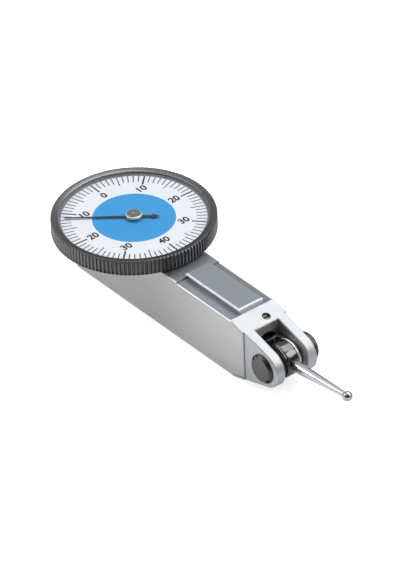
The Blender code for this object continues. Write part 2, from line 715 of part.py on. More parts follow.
def make_stylus(shop):
    """Friction hub with its washers, and the ball-ended contact screwed into it."""
    across = frame_along(PIVOT, Y_AXIS)
    along = frame_along(PIVOT, STYLUS_AXIS)
    bore = PIVOT_SHAFT_RADIUS + RUN_GAP
    disc = ring(bore, HUB_RADIUS, -HUB_HALF, HUB_HALF)
    hub = shop.turned("contact_hub", disc, MIDDLE_STEPS, across, DARK_STEEL)
    socket = rod(SOCKET_RADIUS, HUB_RADIUS / 2, HUB_RADIUS + SOCKET_REACH)
    join(hub, shop.turned("stylus_socket", socket, SMALL_STEPS, along))
    made = [hub]
    for side, sign, colour in (("left", -1, DARK_STEEL), ("right", 1, NICKEL)):
        washer = ring(bore, HUB_RADIUS - SEAT_GAP, HUB_HALF + SEAT_GAP, WASHER_OUTER)
        frame = frame_along(PIVOT, Y_AXIS * sign)
        made.append(shop.turned(f"friction_washer_{side}", washer, MIDDLE_STEPS, frame, colour))
    flat = math.sqrt(BALL_RADIUS**2 - STYLUS_TIP_RADIUS**2)
    end = STYLUS_LENGTH - flat - SEAT_GAP
    collar = STYLUS_ROOT + STYLUS_COLLAR
    shank = [
        (0, end),
        (STYLUS_TIP_RADIUS, end),
        (STYLUS_ROOT_RADIUS, collar),
        (STYLUS_ROOT_RADIUS, STYLUS_ROOT),
        (0, STYLUS_ROOT),
    ]
    made.append(shop.turned("stylus_shank", shank, SMALL_STEPS, along, CHROME))
    seat_angle = math.atan2(-flat, STYLUS_TIP_RADIUS)
    ball = arc((0, STYLUS_LENGTH), BALL_RADIUS, math.pi / 2, seat_angle, BALL_STEPS)
    ball[0] = (0, STYLUS_LENGTH + BALL_RADIUS)
    ball.append((0, STYLUS_LENGTH - flat))
    made.append(shop.turned("stylus_ball", ball, SMALL_STEPS, along, CHROME))
    return made


def make_movement(shop):
    """Two plates on four pillars, with the jewels and the arm that carry the train."""
    outline = rectangle(-PLATE_HALF_LENGTH, PLATE_HALF_LENGTH, PLATE_LOW, PLATE_HIGH)
    jewel_hole = circle((0, PIVOT_Z), JEWEL_RADIUS + SEAT_GAP, TINY_STEPS)
    pillars = [(x, z) for x in (PILLAR_X, -PILLAR_X) for z in (PILLAR_HIGH, PILLAR_LOW)]
    tenons = [circle(place, TENON_RADIUS + SEAT_GAP, TINY_STEPS) for place in pillars]
    shank = SCREW_SHANK_RADIUS + SEAT_GAP
    screws = [circle((x, PIVOT_Z), shank, TINY_STEPS) for _, x in movement_screw_places()]
    loops = [outline, jewel_hole] + tenons
    left = shop.prism("movement_plate_left", loops, "Y", -PLATE_OUTER, -PLATE_INNER, BRASS)
    right = shop.prism("movement_plate_right", loops + screws, "Y", PLATE_INNER, PLATE_OUTER, BRASS)
    arm_end = CROWN_FACE_Y + SWING_GAP
    arm_low = (-ARM_HALF_WIDTH, arm_end, ARM_LOW)
    arm_high = (ARM_HALF_WIDTH, PLATE_INNER + PLATE_THICKNESS / 2, ARM_TOP)
    join(right, shop.box("arbor_arm", arm_low, arm_high))
    hole = rod(JEWEL_RADIUS + SEAT_GAP, ARM_LOW - OVERLAP, ARM_TOP + OVERLAP)
    cut(right, shop.turned("arbor_arm_hole", hole, TINY_STEPS, Matrix.Identity(4)))
    made = [left, right]
    shoulder = PLATE_INNER - SEAT_GAP
    profile = [
        (0, PLATE_OUTER),
        (TENON_RADIUS, PLATE_OUTER),
        (TENON_RADIUS, shoulder),
        (PILLAR_RADIUS, shoulder),
        (PILLAR_RADIUS, -shoulder),
        (TENON_RADIUS, -shoulder),
        (TENON_RADIUS, -PLATE_OUTER),
        (0, -PLATE_OUTER),
    ]
    names = ("front_upper", "front_lower", "rear_upper", "rear_lower")
    for name, (x, z) in zip(names, pillars):
        frame = frame_along((x, 0, z), Y_AXIS)
        made.append(shop.turned(f"pillar_{name}", profile, TINY_STEPS, frame, BRASS))
    for side, sign in (("left", -1), ("right", 1)):
        jewel = ring(SHAFT_PIVOT_RADIUS + RUN_GAP, JEWEL_RADIUS, PLATE_INNER, PLATE_OUTER)
        frame = frame_along(CROWN_CENTRE, Y_AXIS * sign)
        made.append(shop.turned(f"crown_jewel_{side}", jewel, TINY_STEPS, frame, RUBY))
    lower = ring(SHAFT_PIVOT_RADIUS + RUN_GAP, JEWEL_RADIUS, ARM_LOW, ARM_TOP)
    upper = ring(SHAFT_PIVOT_RADIUS + RUN_GAP, JEWEL_RADIUS, SEAT_LOW, SEAT_TOP)
    made.append(shop.turned("arbor_jewel_lower", lower, TINY_STEPS, Matrix.Identity(4), RUBY))
    made.append(shop.turned("arbor_jewel_upper", upper, TINY_STEPS, Matrix.Identity(4), RUBY))
    for name, x in movement_screw_places():
        head = HALF_WIDTH - SEAT_GAP
        profile = small_screw(head, PLATE_INNER + SEAT_GAP)
        frame = frame_along((x, 0, PIVOT_Z), Y_AXIS)
        made.append(shop.turned(f"movement_screw_{name}", profile, TINY_STEPS, frame, STEEL))
    return made


def small_screw(top, end):
    """Profile of a cheese-headed screw from its top down to its end."""
    under = top - SCREW_HEAD_HEIGHT
    return [
        (0, top),
        (SCREW_HEAD_RADIUS, top),
        (SCREW_HEAD_RADIUS, under),
        (SCREW_SHANK_RADIUS, under),
        (SCREW_SHANK_RADIUS, end),
        (0, end),
    ]


def make_crown(shop):
    """Crown gear and lever pinion on one cross shaft."""
    shoulder = PLATE_INNER - SEAT_GAP
    end = PLATE_OUTER - SEAT_GAP
    profile = [
        (0, end),
        (SHAFT_PIVOT_RADIUS, end),
        (SHAFT_PIVOT_RADIUS, shoulder),
        (CROWN_SHAFT_RADIUS, shoulder),
        (CROWN_SHAFT_RADIUS, -shoulder),
        (SHAFT_PIVOT_RADIUS, -shoulder),
        (SHAFT_PIVOT_RADIUS, -end),
        (0, -end),
    ]
    frame = frame_along(CROWN_CENTRE, Y_AXIS)
    shaft = shop.turned("crown_shaft", profile, TINY_STEPS, frame, CHROME)
    bore = CROWN_SHAFT_RADIUS + SEAT_GAP
    first = math.pi / LEVER_PINION_TEETH
    leaves = pinion_outline(LEVER_PINION_TEETH, SECTOR_MODULE, first)
    outline = [(x, PIVOT_Z + z) for x, z in leaves]
    hole = circle((0, PIVOT_Z), bore, TINY_STEPS)
    pinion = shop.prism("lever_pinion", [outline, hole], "Y", PINION_LOW_Y, PINION_HIGH_Y, CHROME)
    return [shaft, pinion, make_crown_gear(shop, bore)]


def make_crown_gear(shop, bore):
    """A disc with a raised rim, cut through by a gap between each two face teeth."""
    tip = -CENTRE_PITCH_RADIUS + TOOTH_ADDENDUM * CROWN_MODULE
    inner = CROWN_TIP_RADIUS - CROWN_TOOTH_LENGTH
    profile = [
        (CROWN_TIP_RADIUS, tip),
        (CROWN_TIP_RADIUS, CROWN_BACK_Y),
        (bore, CROWN_BACK_Y),
        (bore, CROWN_FACE_Y),
        (inner, CROWN_FACE_Y),
        (inner, tip),
    ]
    gear = shop.turned("crown_gear", profile, CROWN_TEETH, frame_along(CROWN_CENTRE, Y_AXIS), BRASS)
    mesh = bpy.data.meshes.new("crown_gaps")
    shape = bmesh.new()
    pitch = math.pi * CROWN_MODULE
    floor = CROWN_FACE_Y + MERGE
    over = tip + CROWN_MODULE
    slant = (1 - TOOTH_SHARE) / 2
    for angle in leaf_angles(CROWN_TEETH, math.pi / CROWN_TEETH):
        made = bmesh.ops.create_cube(shape, size=1.0)["verts"]
        for vert in made:
            high = vert.co.z > 0
            height = over if high else floor
            half = pitch * (1 - TOOTH_SHARE) / 2 + (height + CENTRE_PITCH_RADIUS) * slant
            vert.co.x = math.copysign(half, vert.co.x)
            length = CROWN_TOOTH_LENGTH / 2 + OVERLAP
            vert.co.y = CROWN_PITCH_RADIUS + math.copysign(length, vert.co.y)
            vert.co.z = height
        bmesh.ops.rotate(shape, verts=made, cent=(0, 0, 0), matrix=Matrix.Rotation(angle, 3, "Z"))
    shape.to_mesh(mesh)
    shape.free()
    gaps = shop.place(bpy.data.objects.new("crown_gaps", mesh), None)
    turn = Matrix(((1, 0, 0, 0), (0, 0, 1, 0), (0, -1, 0, 0), (0, 0, 0, 1)))
    gaps.matrix_world = Matrix.Translation(CROWN_CENTRE) @ turn @ Matrix.Rotation(math.pi, 4, "Z")
    return cut(gear, gaps)


def make_pointer(shop):
    """Arbor with its pinion, spring collet, hand and domed boss."""
    shoulder_low = ARM_TOP + RUN_GAP
    shoulder_high = SEAT_LOW - RUN_GAP
    top = BOSS_LOW + BOSS_HEIGHT - BOSS_DISC
    profile = [
        (0, top),
        (SHAFT_PIVOT_RADIUS, top),
        (SHAFT_PIVOT_RADIUS, shoulder_high),
        (ARBOR_RADIUS, shoulder_high),
        (ARBOR_RADIUS, shoulder_low),
        (SHAFT_PIVOT_RADIUS, shoulder_low),
        (SHAFT_PIVOT_RADIUS, ARM_LOW),
        (0, ARM_LOW),
    ]
    upright = Matrix.Identity(4)
    arbor = shop.turned("centre_arbor", profile, TINY_STEPS, upright, CHROME)
    first = -math.pi / 2 + math.pi / CENTRE_PINION_TEETH
    leaves = pinion_outline(CENTRE_PINION_TEETH, CROWN_MODULE, first)
    half = CENTRE_PINION_WIDTH / 2
    join(arbor, shop.prism("centre_pinion", [leaves], "Z", CENTRE_PINION_Z - half, CENTRE_PINION_Z + half))
    bore = SHAFT_PIVOT_RADIUS + SEAT_GAP
    collet_profile = ring(bore, COLLET_RADIUS, COLLET_LOW, COLLET_LOW + COLLET_HEIGHT)
    collet = shop.turned("hairspring_collet", collet_profile, TINY_STEPS, upright, BRASS)
    boss_top = BOSS_LOW + BOSS_HEIGHT
    disc_low = boss_top - BOSS_DISC
    dimple = SHAFT_PIVOT_RADIUS
    boss_profile = [
        (0, boss_top - BOSS_EDGE),
        (dimple, boss_top),
        (BOSS_RADIUS - BOSS_EDGE, boss_top),
        (BOSS_RADIUS, boss_top - BOSS_EDGE),
        (BOSS_RADIUS, disc_low),
        (BOSS_COLLAR_RADIUS, disc_low),
        (BOSS_COLLAR_RADIUS, BOSS_LOW),
        (bore, BOSS_LOW),
        (bore, top + SEAT_GAP / 2),
        (0, top + SEAT_GAP / 2),
    ]
    boss = shop.turned("pointer_boss", boss_profile, SMALL_STEPS, upright, NICKEL)
    return [arbor, collet, boss, make_hand(shop, bore)]


def make_hand(shop, bore):
    """A slim tapered hand with an arrow on its short end."""
    eye = POINTER_EYE_RADIUS
    root = POINTER_ROOT_WIDTH / 2
    tip = POINTER_TIP_WIDTH / 2
    neck = POINTER_TAIL - ARROW_LENGTH
    turn = math.asin(root / eye)
    outline = [(POINTER_LENGTH, -tip), (POINTER_LENGTH, tip)]
    outline += arc((0, 0), eye, turn, math.pi - turn, ARC_STEPS)
    barb = ARROW_WIDTH / 2
    outline += [(-neck, root), (-neck, barb), (-POINTER_TAIL, 0), (-neck, -barb), (-neck, -root)]
    outline += arc((0, 0), eye, math.pi + turn, 2 * math.pi - turn, ARC_STEPS)
    hole = circle((0, 0), bore, TINY_STEPS)
    heading = math.pi + 2 * math.pi * POINTER_DIVISIONS / DIVISIONS
    turned = [[turn_point(point, heading) for point in loop] for loop in (outline, hole)]
    return shop.prism("pointer_hand", turned, "Z", POINTER_LOW, POINTER_HIGH, DARK_STEEL)


def turn_point(point, angle):
    x, y = point
    return (x * math.cos(angle) - y * math.sin(angle), x * math.sin(angle) + y * math.cos(angle))


def make_seat(shop):
    """Round plate that the bezel turns on, its screws, snap wire and the pointer's hairspring."""
    groove_low = GROOVE_Z - GROOVE_WIDTH / 2
    groove_high = GROOVE_Z + GROOVE_WIDTH / 2
    groove_radius = SEAT_RADIUS - GROOVE_DEPTH
    rim_inner = SEAT_RADIUS - SEAT_RIM_WIDTH
    bore = JEWEL_RADIUS + SEAT_GAP
    profile = [
        (SEAT_RADIUS, SEAT_RIM_TOP),
        (SEAT_RADIUS, groove_high),
        (groove_radius, groove_high),
        (groove_radius, groove_low),
        (SEAT_RADIUS, groove_low),
        (SEAT_RADIUS, SEAT_LOW),
        (bore, SEAT_LOW),
        (bore, SEAT_TOP),
        (rim_inner, SEAT_TOP),
        (rim_inner, SEAT_RIM_TOP),
    ]
    upright = Matrix.Identity(4)
    seat = shop.turned("bezel_seat", profile, LARGE_STEPS, upright, STEEL)
    made = [seat]
    for name, x in seat_screw_places():
        frame = frame_along((x, 0, 0), Z_AXIS)
        hole = rod(SCREW_SHANK_RADIUS + SEAT_GAP, SEAT_LOW - OVERLAP, SEAT_TOP + OVERLAP)
        cut(seat, shop.turned(f"seat_clearance_{name}", hole, TINY_STEPS, frame))
        head = SEAT_TOP + SEAT_GAP + SCREW_HEAD_HEIGHT
        screw = small_screw(head, CEILING)
        made.append(shop.turned(f"seat_screw_{name}", screw, TINY_STEPS, frame, STEEL))
    wire_radius = (SEAT_RADIUS + BEZEL_BORE) / 2
    turn = arc((0, 0), wire_radius, SNAP_WIRE_GAP / 2, 2 * math.pi - SNAP_WIRE_GAP / 2, LARGE_STEPS)
    points = [(x, y, GROOVE_Z) for x, y in turn]
    made.append(shop.wire("bezel_snap_wire", points, SNAP_WIRE_RADIUS, CHROME))
    return made + make_hairspring(shop)


def make_hairspring(shop):
    """A flat spiral from the collet out to its stud on the seat plate."""
    start = COLLET_RADIUS + SPRING_WIRE_RADIUS + RUN_GAP
    height = COLLET_LOW + COLLET_HEIGHT / 2
    count = SPRING_TURNS * TINY_STEPS
    points = []
    for i in range(count + 1):
        turns = i / TINY_STEPS
        radius = start + SPRING_PITCH * turns
        angle = 2 * math.pi * turns
        points.append((radius * math.cos(angle), radius * math.sin(angle), height))
    spring = shop.wire("hairspring", points, SPRING_WIRE_RADIUS, SPRING_BLUE)
    end = start + SPRING_PITCH * SPRING_TURNS + SPRING_WIRE_RADIUS + SEAT_GAP
    low = SEAT_TOP + SEAT_GAP
    outline = rectangle(end, end + STUD_SIZE, -STUD_SIZE / 2, STUD_SIZE / 2)
    stud = shop.prism("hairspring_stud", [outline], "Z", low, height + STUD_ABOVE_SPRING, BRASS)
    return [spring, stud]


def knurl_outline(outer, inner):
    """Star of straight ribs round the bezel, with the ring's bore as its hole."""
    step = 2 * math.pi / KNURL_RIBS
    star = []
    for i in range(KNURL_RIBS):
        for radius, turn in ((outer, 0.0), (outer - KNURL_DEPTH, 0.5)):
            angle = (i + turn) * step
            star.append((radius * math.cos(angle), radius * math.sin(angle)))
    return [star, circle((0, 0), inner, LARGE_STEPS)]


def make_bezel(shop):
    """Knurled ring that carries the crystal, its gasket and the dial plate."""
    low = BODY_HEIGHT + BEZEL_LIFT
    knurl_top = BODY_HEIGHT + KNURL_TOP
    core = BEZEL_RADIUS - KNURL_DEPTH
    groove_low = GROOVE_Z - GROOVE_WIDTH / 2
    groove_high = GROOVE_Z + GROOVE_WIDTH / 2
    groove_radius = BEZEL_BORE + GROOVE_DEPTH / 2
    ledge = SEAT_RIM_TOP + RUN_GAP
    profile = [
        (RIM_OPENING_RADIUS + KNURL_EDGE, RIM_Z),
        (core - KNURL_EDGE, knurl_top + KNURL_EDGE / 2),
        (core, knurl_top),
        (core, low),
        (BEZEL_BORE, low),
        (BEZEL_BORE, groove_low),
        (groove_radius, groove_low),
        (groove_radius, groove_high),
        (BEZEL_BORE, groove_high),
        (BEZEL_BORE, ledge),
        (STACK_RADIUS, ledge),
        (STACK_RADIUS, RIM_Z - RIM_LIP),
        (RIM_OPENING_RADIUS, RIM_Z - RIM_LIP),
        (RIM_OPENING_RADIUS, RIM_Z - RIM_EDGE),
    ]
    upright = Matrix.Identity(4)
    bezel = shop.turned("bezel_ring", profile, LARGE_STEPS, upright, BLACK_BEZEL)
    ribs = knurl_outline(BEZEL_RADIUS, core - KNURL_DEPTH)
    join(bezel, shop.prism("knurl", ribs, "Z", low + KNURL_FOOT, knurl_top - KNURL_EDGE / 2))
    dial_profile = ring(DIAL_HOLE_RADIUS, PART_RADIUS, DIAL_UNDER, DIAL_Z)
    dial = shop.turned("dial_plate", dial_profile, LARGE_STEPS, upright, DIAL_WHITE)
    gasket_inner = PART_RADIUS - GASKET_WIDTH
    gasket_profile = ring(gasket_inner, PART_RADIUS, DIAL_Z + SEAT_GAP, CRYSTAL_UNDER - SEAT_GAP)
    gasket = shop.turned("crystal_gasket", gasket_profile, LARGE_STEPS, upright, RUBBER)
    retainer_inner = PART_RADIUS - RETAINER_WIDTH
    retainer_top = DIAL_UNDER - SEAT_GAP
    retainer_profile = ring(retainer_inner, PART_RADIUS, retainer_top - RETAINER_HEIGHT, retainer_top)
    retainer = shop.turned("dial_retainer", retainer_profile, LARGE_STEPS, upright, CHROME)
    return [bezel, dial, gasket, retainer, make_crystal(shop)]


def make_crystal(shop):
    """Clear disc with a flat edge under the rim and a low dome over the pointer."""
    edge = RIM_OPENING_RADIUS - SEAT_GAP
    sphere = (edge**2 + CRYSTAL_RISE**2) / (2 * CRYSTAL_RISE)
    sweep = math.asin(edge / sphere)
    centre = (0, CRYSTAL_TOP + CRYSTAL_RISE - sphere)
    upper = arc(centre, sphere, math.pi / 2, math.pi / 2 - sweep, DOME_STEPS)
    upper[0] = (0, CRYSTAL_TOP + CRYSTAL_RISE)
    lower = [(radius, height - CRYSTAL_THICKNESS) for radius, height in reversed(upper)]
    profile = upper + [(PART_RADIUS, CRYSTAL_TOP), (PART_RADIUS, CRYSTAL_UNDER)] + lower
    return shop.turned("crystal", profile, LARGE_STEPS, Matrix.Identity(4), CLEAR)


def settle(part):
    """Keeps the shape that the modifiers make, with smooth round faces and crisp edges."""
    graph = bpy.context.evaluated_depsgraph_get()
    mesh = bpy.data.meshes.new_from_object(part.evaluated_get(graph))
    mesh.shade_smooth()
    mesh.set_sharp_from_angle(angle=SHARP_ANGLE)
    return mesh


def hang_on_axis(shop, name, place, parts):
    """Parents moving parts to an empty on their joint's axis."""
    axis = bpy.data.objects.new(name, None)
    axis.empty_display_size = BALL_RADIUS
    axis.location = place
    shop.parts.objects.link(axis)
    bpy.context.view_layer.update()
    for part in parts:
        part.parent = axis
        part.matrix_parent_inverse = axis.matrix_world.inverted()
    return axis


def main():
    clear_scene()
    shop = Shop()
    make_case(shop)
    make_nose(shop)
    make_nose_screw(shop)
    make_pivot_caps(shop)
    make_movement(shop)
    make_seat(shop)
    bezel = make_bezel(shop)
    pointer = make_pointer(shop)
    crown = make_crown(shop)
    lever = make_lever(shop)
    stylus = make_stylus(shop)
    bpy.context.view_layer.update()
    parts = list(shop.parts.objects)
    meshes = [settle(part) for part in parts]
    for part, mesh in zip(parts, meshes):
        part.modifiers.clear()
        part.data = mesh
    hang_on_axis(shop, "bezel_axis", (0, 0, RIM_Z), bezel)
    hang_on_axis(shop, "pointer_axis", (0, 0, POINTER_LOW), pointer)
    hang_on_axis(shop, "crown_axis", CROWN_CENTRE, crown)
    hang_on_axis(shop, "lever_axis", PIVOT, lever)
    hang_on_axis(shop, "stylus_axis", PIVOT, stylus)
    print(f"stylus length {STYLUS_LENGTH / MM:.3f} mm for a train of {TRAIN_RATIO:.2f} to 1")


main()
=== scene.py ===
# %% [markdown]
# # A lever-type dial test indicator in a white studio
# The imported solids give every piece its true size, place and joint. This lesson dresses them: soft
# edges, a knurled bezel, a printed dial, a clear crystal and metal finishes, with a camera and lamps.
# Each cell makes one piece or one finish, and the text before it says why it is made that way.

# %% Load the solids
import json
import math

import bmesh
import bpy
from mathutils import Matrix, Vector

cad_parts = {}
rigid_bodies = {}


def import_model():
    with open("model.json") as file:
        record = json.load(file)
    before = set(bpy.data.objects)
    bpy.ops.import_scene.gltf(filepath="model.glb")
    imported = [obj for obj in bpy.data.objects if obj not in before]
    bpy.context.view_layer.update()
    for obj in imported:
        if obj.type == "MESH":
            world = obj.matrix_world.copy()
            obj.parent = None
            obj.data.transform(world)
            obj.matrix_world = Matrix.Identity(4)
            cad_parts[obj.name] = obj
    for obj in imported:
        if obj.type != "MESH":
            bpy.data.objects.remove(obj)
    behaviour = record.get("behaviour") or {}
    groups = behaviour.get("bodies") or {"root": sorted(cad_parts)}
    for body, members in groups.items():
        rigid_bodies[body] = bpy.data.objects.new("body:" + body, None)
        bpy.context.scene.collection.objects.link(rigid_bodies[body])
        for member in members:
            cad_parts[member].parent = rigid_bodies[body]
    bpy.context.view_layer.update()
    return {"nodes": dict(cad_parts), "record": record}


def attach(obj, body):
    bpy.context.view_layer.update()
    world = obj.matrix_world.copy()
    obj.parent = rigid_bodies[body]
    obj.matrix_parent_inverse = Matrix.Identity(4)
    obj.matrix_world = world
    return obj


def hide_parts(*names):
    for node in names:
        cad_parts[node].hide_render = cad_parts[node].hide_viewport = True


for leftover in list(bpy.data.objects):
    bpy.data.objects.remove(leftover, do_unlink=True)
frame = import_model()
MM = 0.001

# %% [markdown]
# ## The camera
# The picture was taken from far off with a long lens, from ahead of the nose and a little to the left.
# A camera can be aimed by eye, but here its place, heading and focal length were worked out from the
# corners of the slab, the dovetail and the two circles of the dial, so it is set straight from numbers.

# %% Camera
CAMERA_PLACE = Vector((0.8236, -0.6252, 0.7382))
CAMERA_HEADING = math.radians(142.126)
CAMERA_DIP = math.radians(35.565)
CAMERA_ROLL = math.radians(-2.150)
FOCAL_PIXELS = 6601.9
PICTURE_LONG_SIDE = 570


def camera_matrix():
    """The camera's place, with its axes from heading, dip and roll."""
    flat = math.cos(CAMERA_DIP)
    ahead = Vector((flat * math.cos(CAMERA_HEADING), flat * math.sin(CAMERA_HEADING), -math.sin(CAMERA_DIP)))
    level = ahead.cross(Vector((0, 0, 1))).normalized()
    upright = level.cross(ahead)
    right = level * math.cos(CAMERA_ROLL) + upright * math.sin(CAMERA_ROLL)
    above = right.cross(ahead)
    axes = Matrix((right, above, -ahead)).transposed()
    return Matrix.Translation(CAMERA_PLACE) @ axes.to_4x4()


lens = bpy.data.cameras.new("studio_camera")
lens.lens = FOCAL_PIXELS / PICTURE_LONG_SIDE * lens.sensor_width
lens.clip_end = 20
camera = bpy.data.objects.new("studio_camera", lens)
camera.matrix_world = camera_matrix()
bpy.context.scene.collection.objects.link(camera)
bpy.context.scene.camera = camera
print(f"camera: {lens.lens:.0f} mm lens, {CAMERA_PLACE.length:.2f} m from the origin")

# %% [markdown]
# ## Small helpers for node trees
# Materials, light and repeated shapes are all node trees. A few helpers keep each of them short: one adds a
# node with its settings and inputs, and the others do a sum, a sum on vectors, a change of range and a mix of
# two colours. An input is either a plain value or the output of another node.

# %% Node helpers


def node(tree, kind, inputs=(), **settings):
    """Adds a node, sets it up, and fills or links its inputs by name or number."""
    made = tree.nodes.new(kind)
    for name, value in settings.items():
        setattr(made, name, value)
    for key, value in dict(inputs).items():
        if isinstance(value, bpy.types.NodeSocket):
            tree.links.new(value, made.inputs[key])
        else:
            made.inputs[key].default_value = value
    return made


def calc(tree, operation, *values):
    return node(tree, "ShaderNodeMath", dict(enumerate(values)), operation=operation).outputs[0]


def vector_calc(tree, operation, inputs, wanted=0):
    return node(tree, "ShaderNodeVectorMath", inputs, operation=operation).outputs[wanted]


def spread(tree, value, start, end, first=0.0, last=1.0):
    """Stretches the span from start to end onto another span, and holds still beyond it."""
    span = {"Value": value, "From Min": start, "From Max": end, "To Min": first, "To Max": last}
    return node(tree, "ShaderNodeMapRange", span).outputs["Result"]


def blend(tree, share, first, second):
    return node(tree, "ShaderNodeMix", {0: share, 6: first, 7: second}, data_type="RGBA").outputs[2]


def new_group(name, kind, inputs, outputs):
    """A node group with named sockets. Returns the group, its inputs and its output node."""
    group = bpy.data.node_groups.new(name, kind)
    for label, socket in inputs.items():
        group.interface.new_socket(label, in_out="INPUT", socket_type=socket)
    for label, socket in outputs.items():
        group.interface.new_socket(label, in_out="OUTPUT", socket_type=socket)
    return group, group.nodes.new("NodeGroupInput").outputs, group.nodes.new("NodeGroupOutput")


# %% [markdown]
# ## The white table
# The tool was shot on white with soft light. A real set has a white table under it, and here a wide floor stands
# for that. More lamps would turn the floor white, but they would bleach the tool too. So the floor glows, and only
# for the camera and for mirror-like metal, while the light that falls on it still gives the object its shadow. In
# reflections it is duller ahead of the nose, as if a grey card lay there, or the round ends of the fork would glare.

# %% White table
FLOOR_HALF = 4.0
FLOOR_DROP = 0.02 * MM
TABLE_WHITE = (0.82, 0.82, 0.82, 1)
CAMERA_GLOW, MIRROR_GLOW = 0.70, 0.30
AHEAD_OF_NOSE = (0.78, 0.62, 0)
GLOW_FADES, GLOW_ENDS = 0.018, 0.045


def table_material():
    material = bpy.data.materials.new("white_table")
    material.use_nodes = True
    tree = material.node_tree
    shader = tree.nodes["Principled BSDF"]
    shader.inputs["Base Color"].default_value = TABLE_WHITE
    shader.inputs["Roughness"].default_value = 0.9
    shader.inputs["Specular IOR Level"].default_value = 0.0
    shader.inputs["Emission Color"].default_value = (1, 1, 1, 1)
    path = node(tree, "ShaderNodeLightPath").outputs
    direct = calc(tree, "MULTIPLY", path["Is Camera Ray"], CAMERA_GLOW)
    place = node(tree, "ShaderNodeTexCoord").outputs["Object"]
    ahead = vector_calc(tree, "DOT_PRODUCT", {0: place, 1: AHEAD_OF_NOSE}, "Value")
    level = spread(tree, ahead, GLOW_FADES, GLOW_ENDS, MIRROR_GLOW, 0.0)
    mirrored = calc(tree, "MULTIPLY", path["Is Glossy Ray"], level)
    tree.links.new(calc(tree, "ADD", direct, mirrored), shader.inputs["Emission Strength"])
    return material


def make_table():
    half = FLOOR_HALF
    corners = [(-half, -half), (half, -half), (half, half), (-half, half)]
    mesh = bpy.data.meshes.new("table")
    mesh.from_pydata([(x, y, -FLOOR_DROP) for x, y in corners], [], [(0, 1, 2, 3)])
    mesh.materials.append(table_material())
    table = bpy.data.objects.new("table", mesh)
    bpy.context.scene.collection.objects.link(table)
    return table


print("stage:", make_table().name)

# %% [markdown]
# ## Sky and lamps
# A studio has one big lamp overhead and white cards around. Polished metal shows whatever is round it, so an even
# white room would make it look like plastic. The sky is therefore brighter overhead, and darker at the horizon and on
# the side where the camera stands. Three wide area lamps stand for the overhead box and two cards, and their size
# keeps every shadow soft. The camera itself sees plain white.

# %% Sky
SKY_STEPS = ((0.0, 0.10), (0.22, 0.16), (0.40, 0.42), (0.62, 0.52), (0.85, 0.98), (1.0, 1.05))
SKY_TINT = (0.94, 0.985, 1.05)
DARK_SIDE = (0.633, -0.505, 0.587)
DARK_FROM, DARK_FULL, DARK_LEVEL = 0.50, 0.85, 0.15


def make_sky():
    world = bpy.data.worlds.new("studio_sky")
    bpy.context.scene.world = world
    world.use_nodes = True
    tree = world.node_tree
    direction = node(tree, "ShaderNodeTexCoord").outputs["Generated"]
    height = node(tree, "ShaderNodeSeparateXYZ", {0: direction}).outputs["Z"]
    ramp = node(tree, "ShaderNodeValToRGB", {"Fac": height})
    stops = ramp.color_ramp.elements
    while len(stops) < len(SKY_STEPS):
        stops.new(0.5)
    for stop, (place, level) in zip(stops, SKY_STEPS):
        stop.position = place
        stop.color = (*[level * tint for tint in SKY_TINT], 1)
    facing = vector_calc(tree, "DOT_PRODUCT", {0: direction, 1: DARK_SIDE}, "Value")
    shade = spread(tree, facing, DARK_FROM, DARK_FULL, 1.0, DARK_LEVEL)
    light = vector_calc(tree, "SCALE", {0: ramp.outputs["Color"], "Scale": shade})
    seen = node(tree, "ShaderNodeLightPath").outputs["Is Camera Ray"]
    tree.links.new(blend(tree, seen, light, (1, 1, 1, 1)), tree.nodes["Background"].inputs["Color"])
    return world


print("sky:", make_sky().name)

# %% Lamps
OBJECT_MIDDLE = (0.024, 0, 0.008)


def make_lamp(name, place, size, watts):
    light = bpy.data.lights.new(name, "AREA")
    light.shape = "RECTANGLE"
    light.size, light.size_y = size
    light.energy = watts
    lamp = bpy.data.objects.new(name, light)
    place = Vector(place)
    turn = (Vector(OBJECT_MIDDLE) - place).to_track_quat("-Z", "Y")
    lamp.matrix_world = Matrix.Translation(place) @ turn.to_matrix().to_4x4()
    bpy.context.scene.collection.objects.link(lamp)
    print(f"lamp: {name}, {watts} W")


make_lamp("overhead_box", (-0.02, 0.47, 1.05), (0.8, 0.8), 4.5)
make_lamp("rear_left_card", (-0.78, -0.72, 0.62), (0.7, 0.5), 4.4)
make_lamp("front_right_card", (0.72, 0.62, 0.80), (0.6, 0.6), 4.0)
bpy.context.scene.view_settings.view_transform = "Standard"

# %% [markdown]
# ## Effects that the finishes share
# No metal is one flat colour: a grinder leaves lines, a lathe leaves rings, and paint has a fine grain. Pictures
# could show these, but patterns made of noise need no file and have no seam. Each of the three is a node group that
# is built once. All read Object coordinates, so a pattern stays on its piece when a joint moves.

# %% Shared effects


def effect_group(name, inputs):
    """A group that puts out a mask. Returns also the Object coordinates that its pattern is laid on."""
    group, given, out = new_group(name, "ShaderNodeTree", inputs, {"Mask": "NodeSocketFloat"})
    return group, given, out, node(group, "ShaderNodeTexCoord").outputs["Object"]


def put_out(group, noise, out):
    """Noise keeps near its middle, so it is spread over the full range before it leaves the group."""
    group.links.new(spread(group, noise.outputs["Fac"], 0.3, 0.7), out.inputs["Mask"])
    return group


def ground_lines():
    """Fine streaks: noise that is stretched by a different amount along each axis."""
    group, given, out, place = effect_group("ground_lines", {"Stretch": "NodeSocketVector"})
    stretched = vector_calc(group, "MULTIPLY", {0: place, 1: given["Stretch"]})
    noise = node(group, "ShaderNodeTexNoise", {"Vector": stretched, "Scale": 1.0, "Detail": 3.0})
    return put_out(group, noise, out)


def fine_grain():
    """Even speckle, the same in every direction."""
    group, given, out, place = effect_group("fine_grain", {"Scale": "NodeSocketFloat"})
    noise = node(group, "ShaderNodeTexNoise", {"Vector": place, "Scale": given["Scale"], "Detail": 4.0})
    return put_out(group, noise, out)


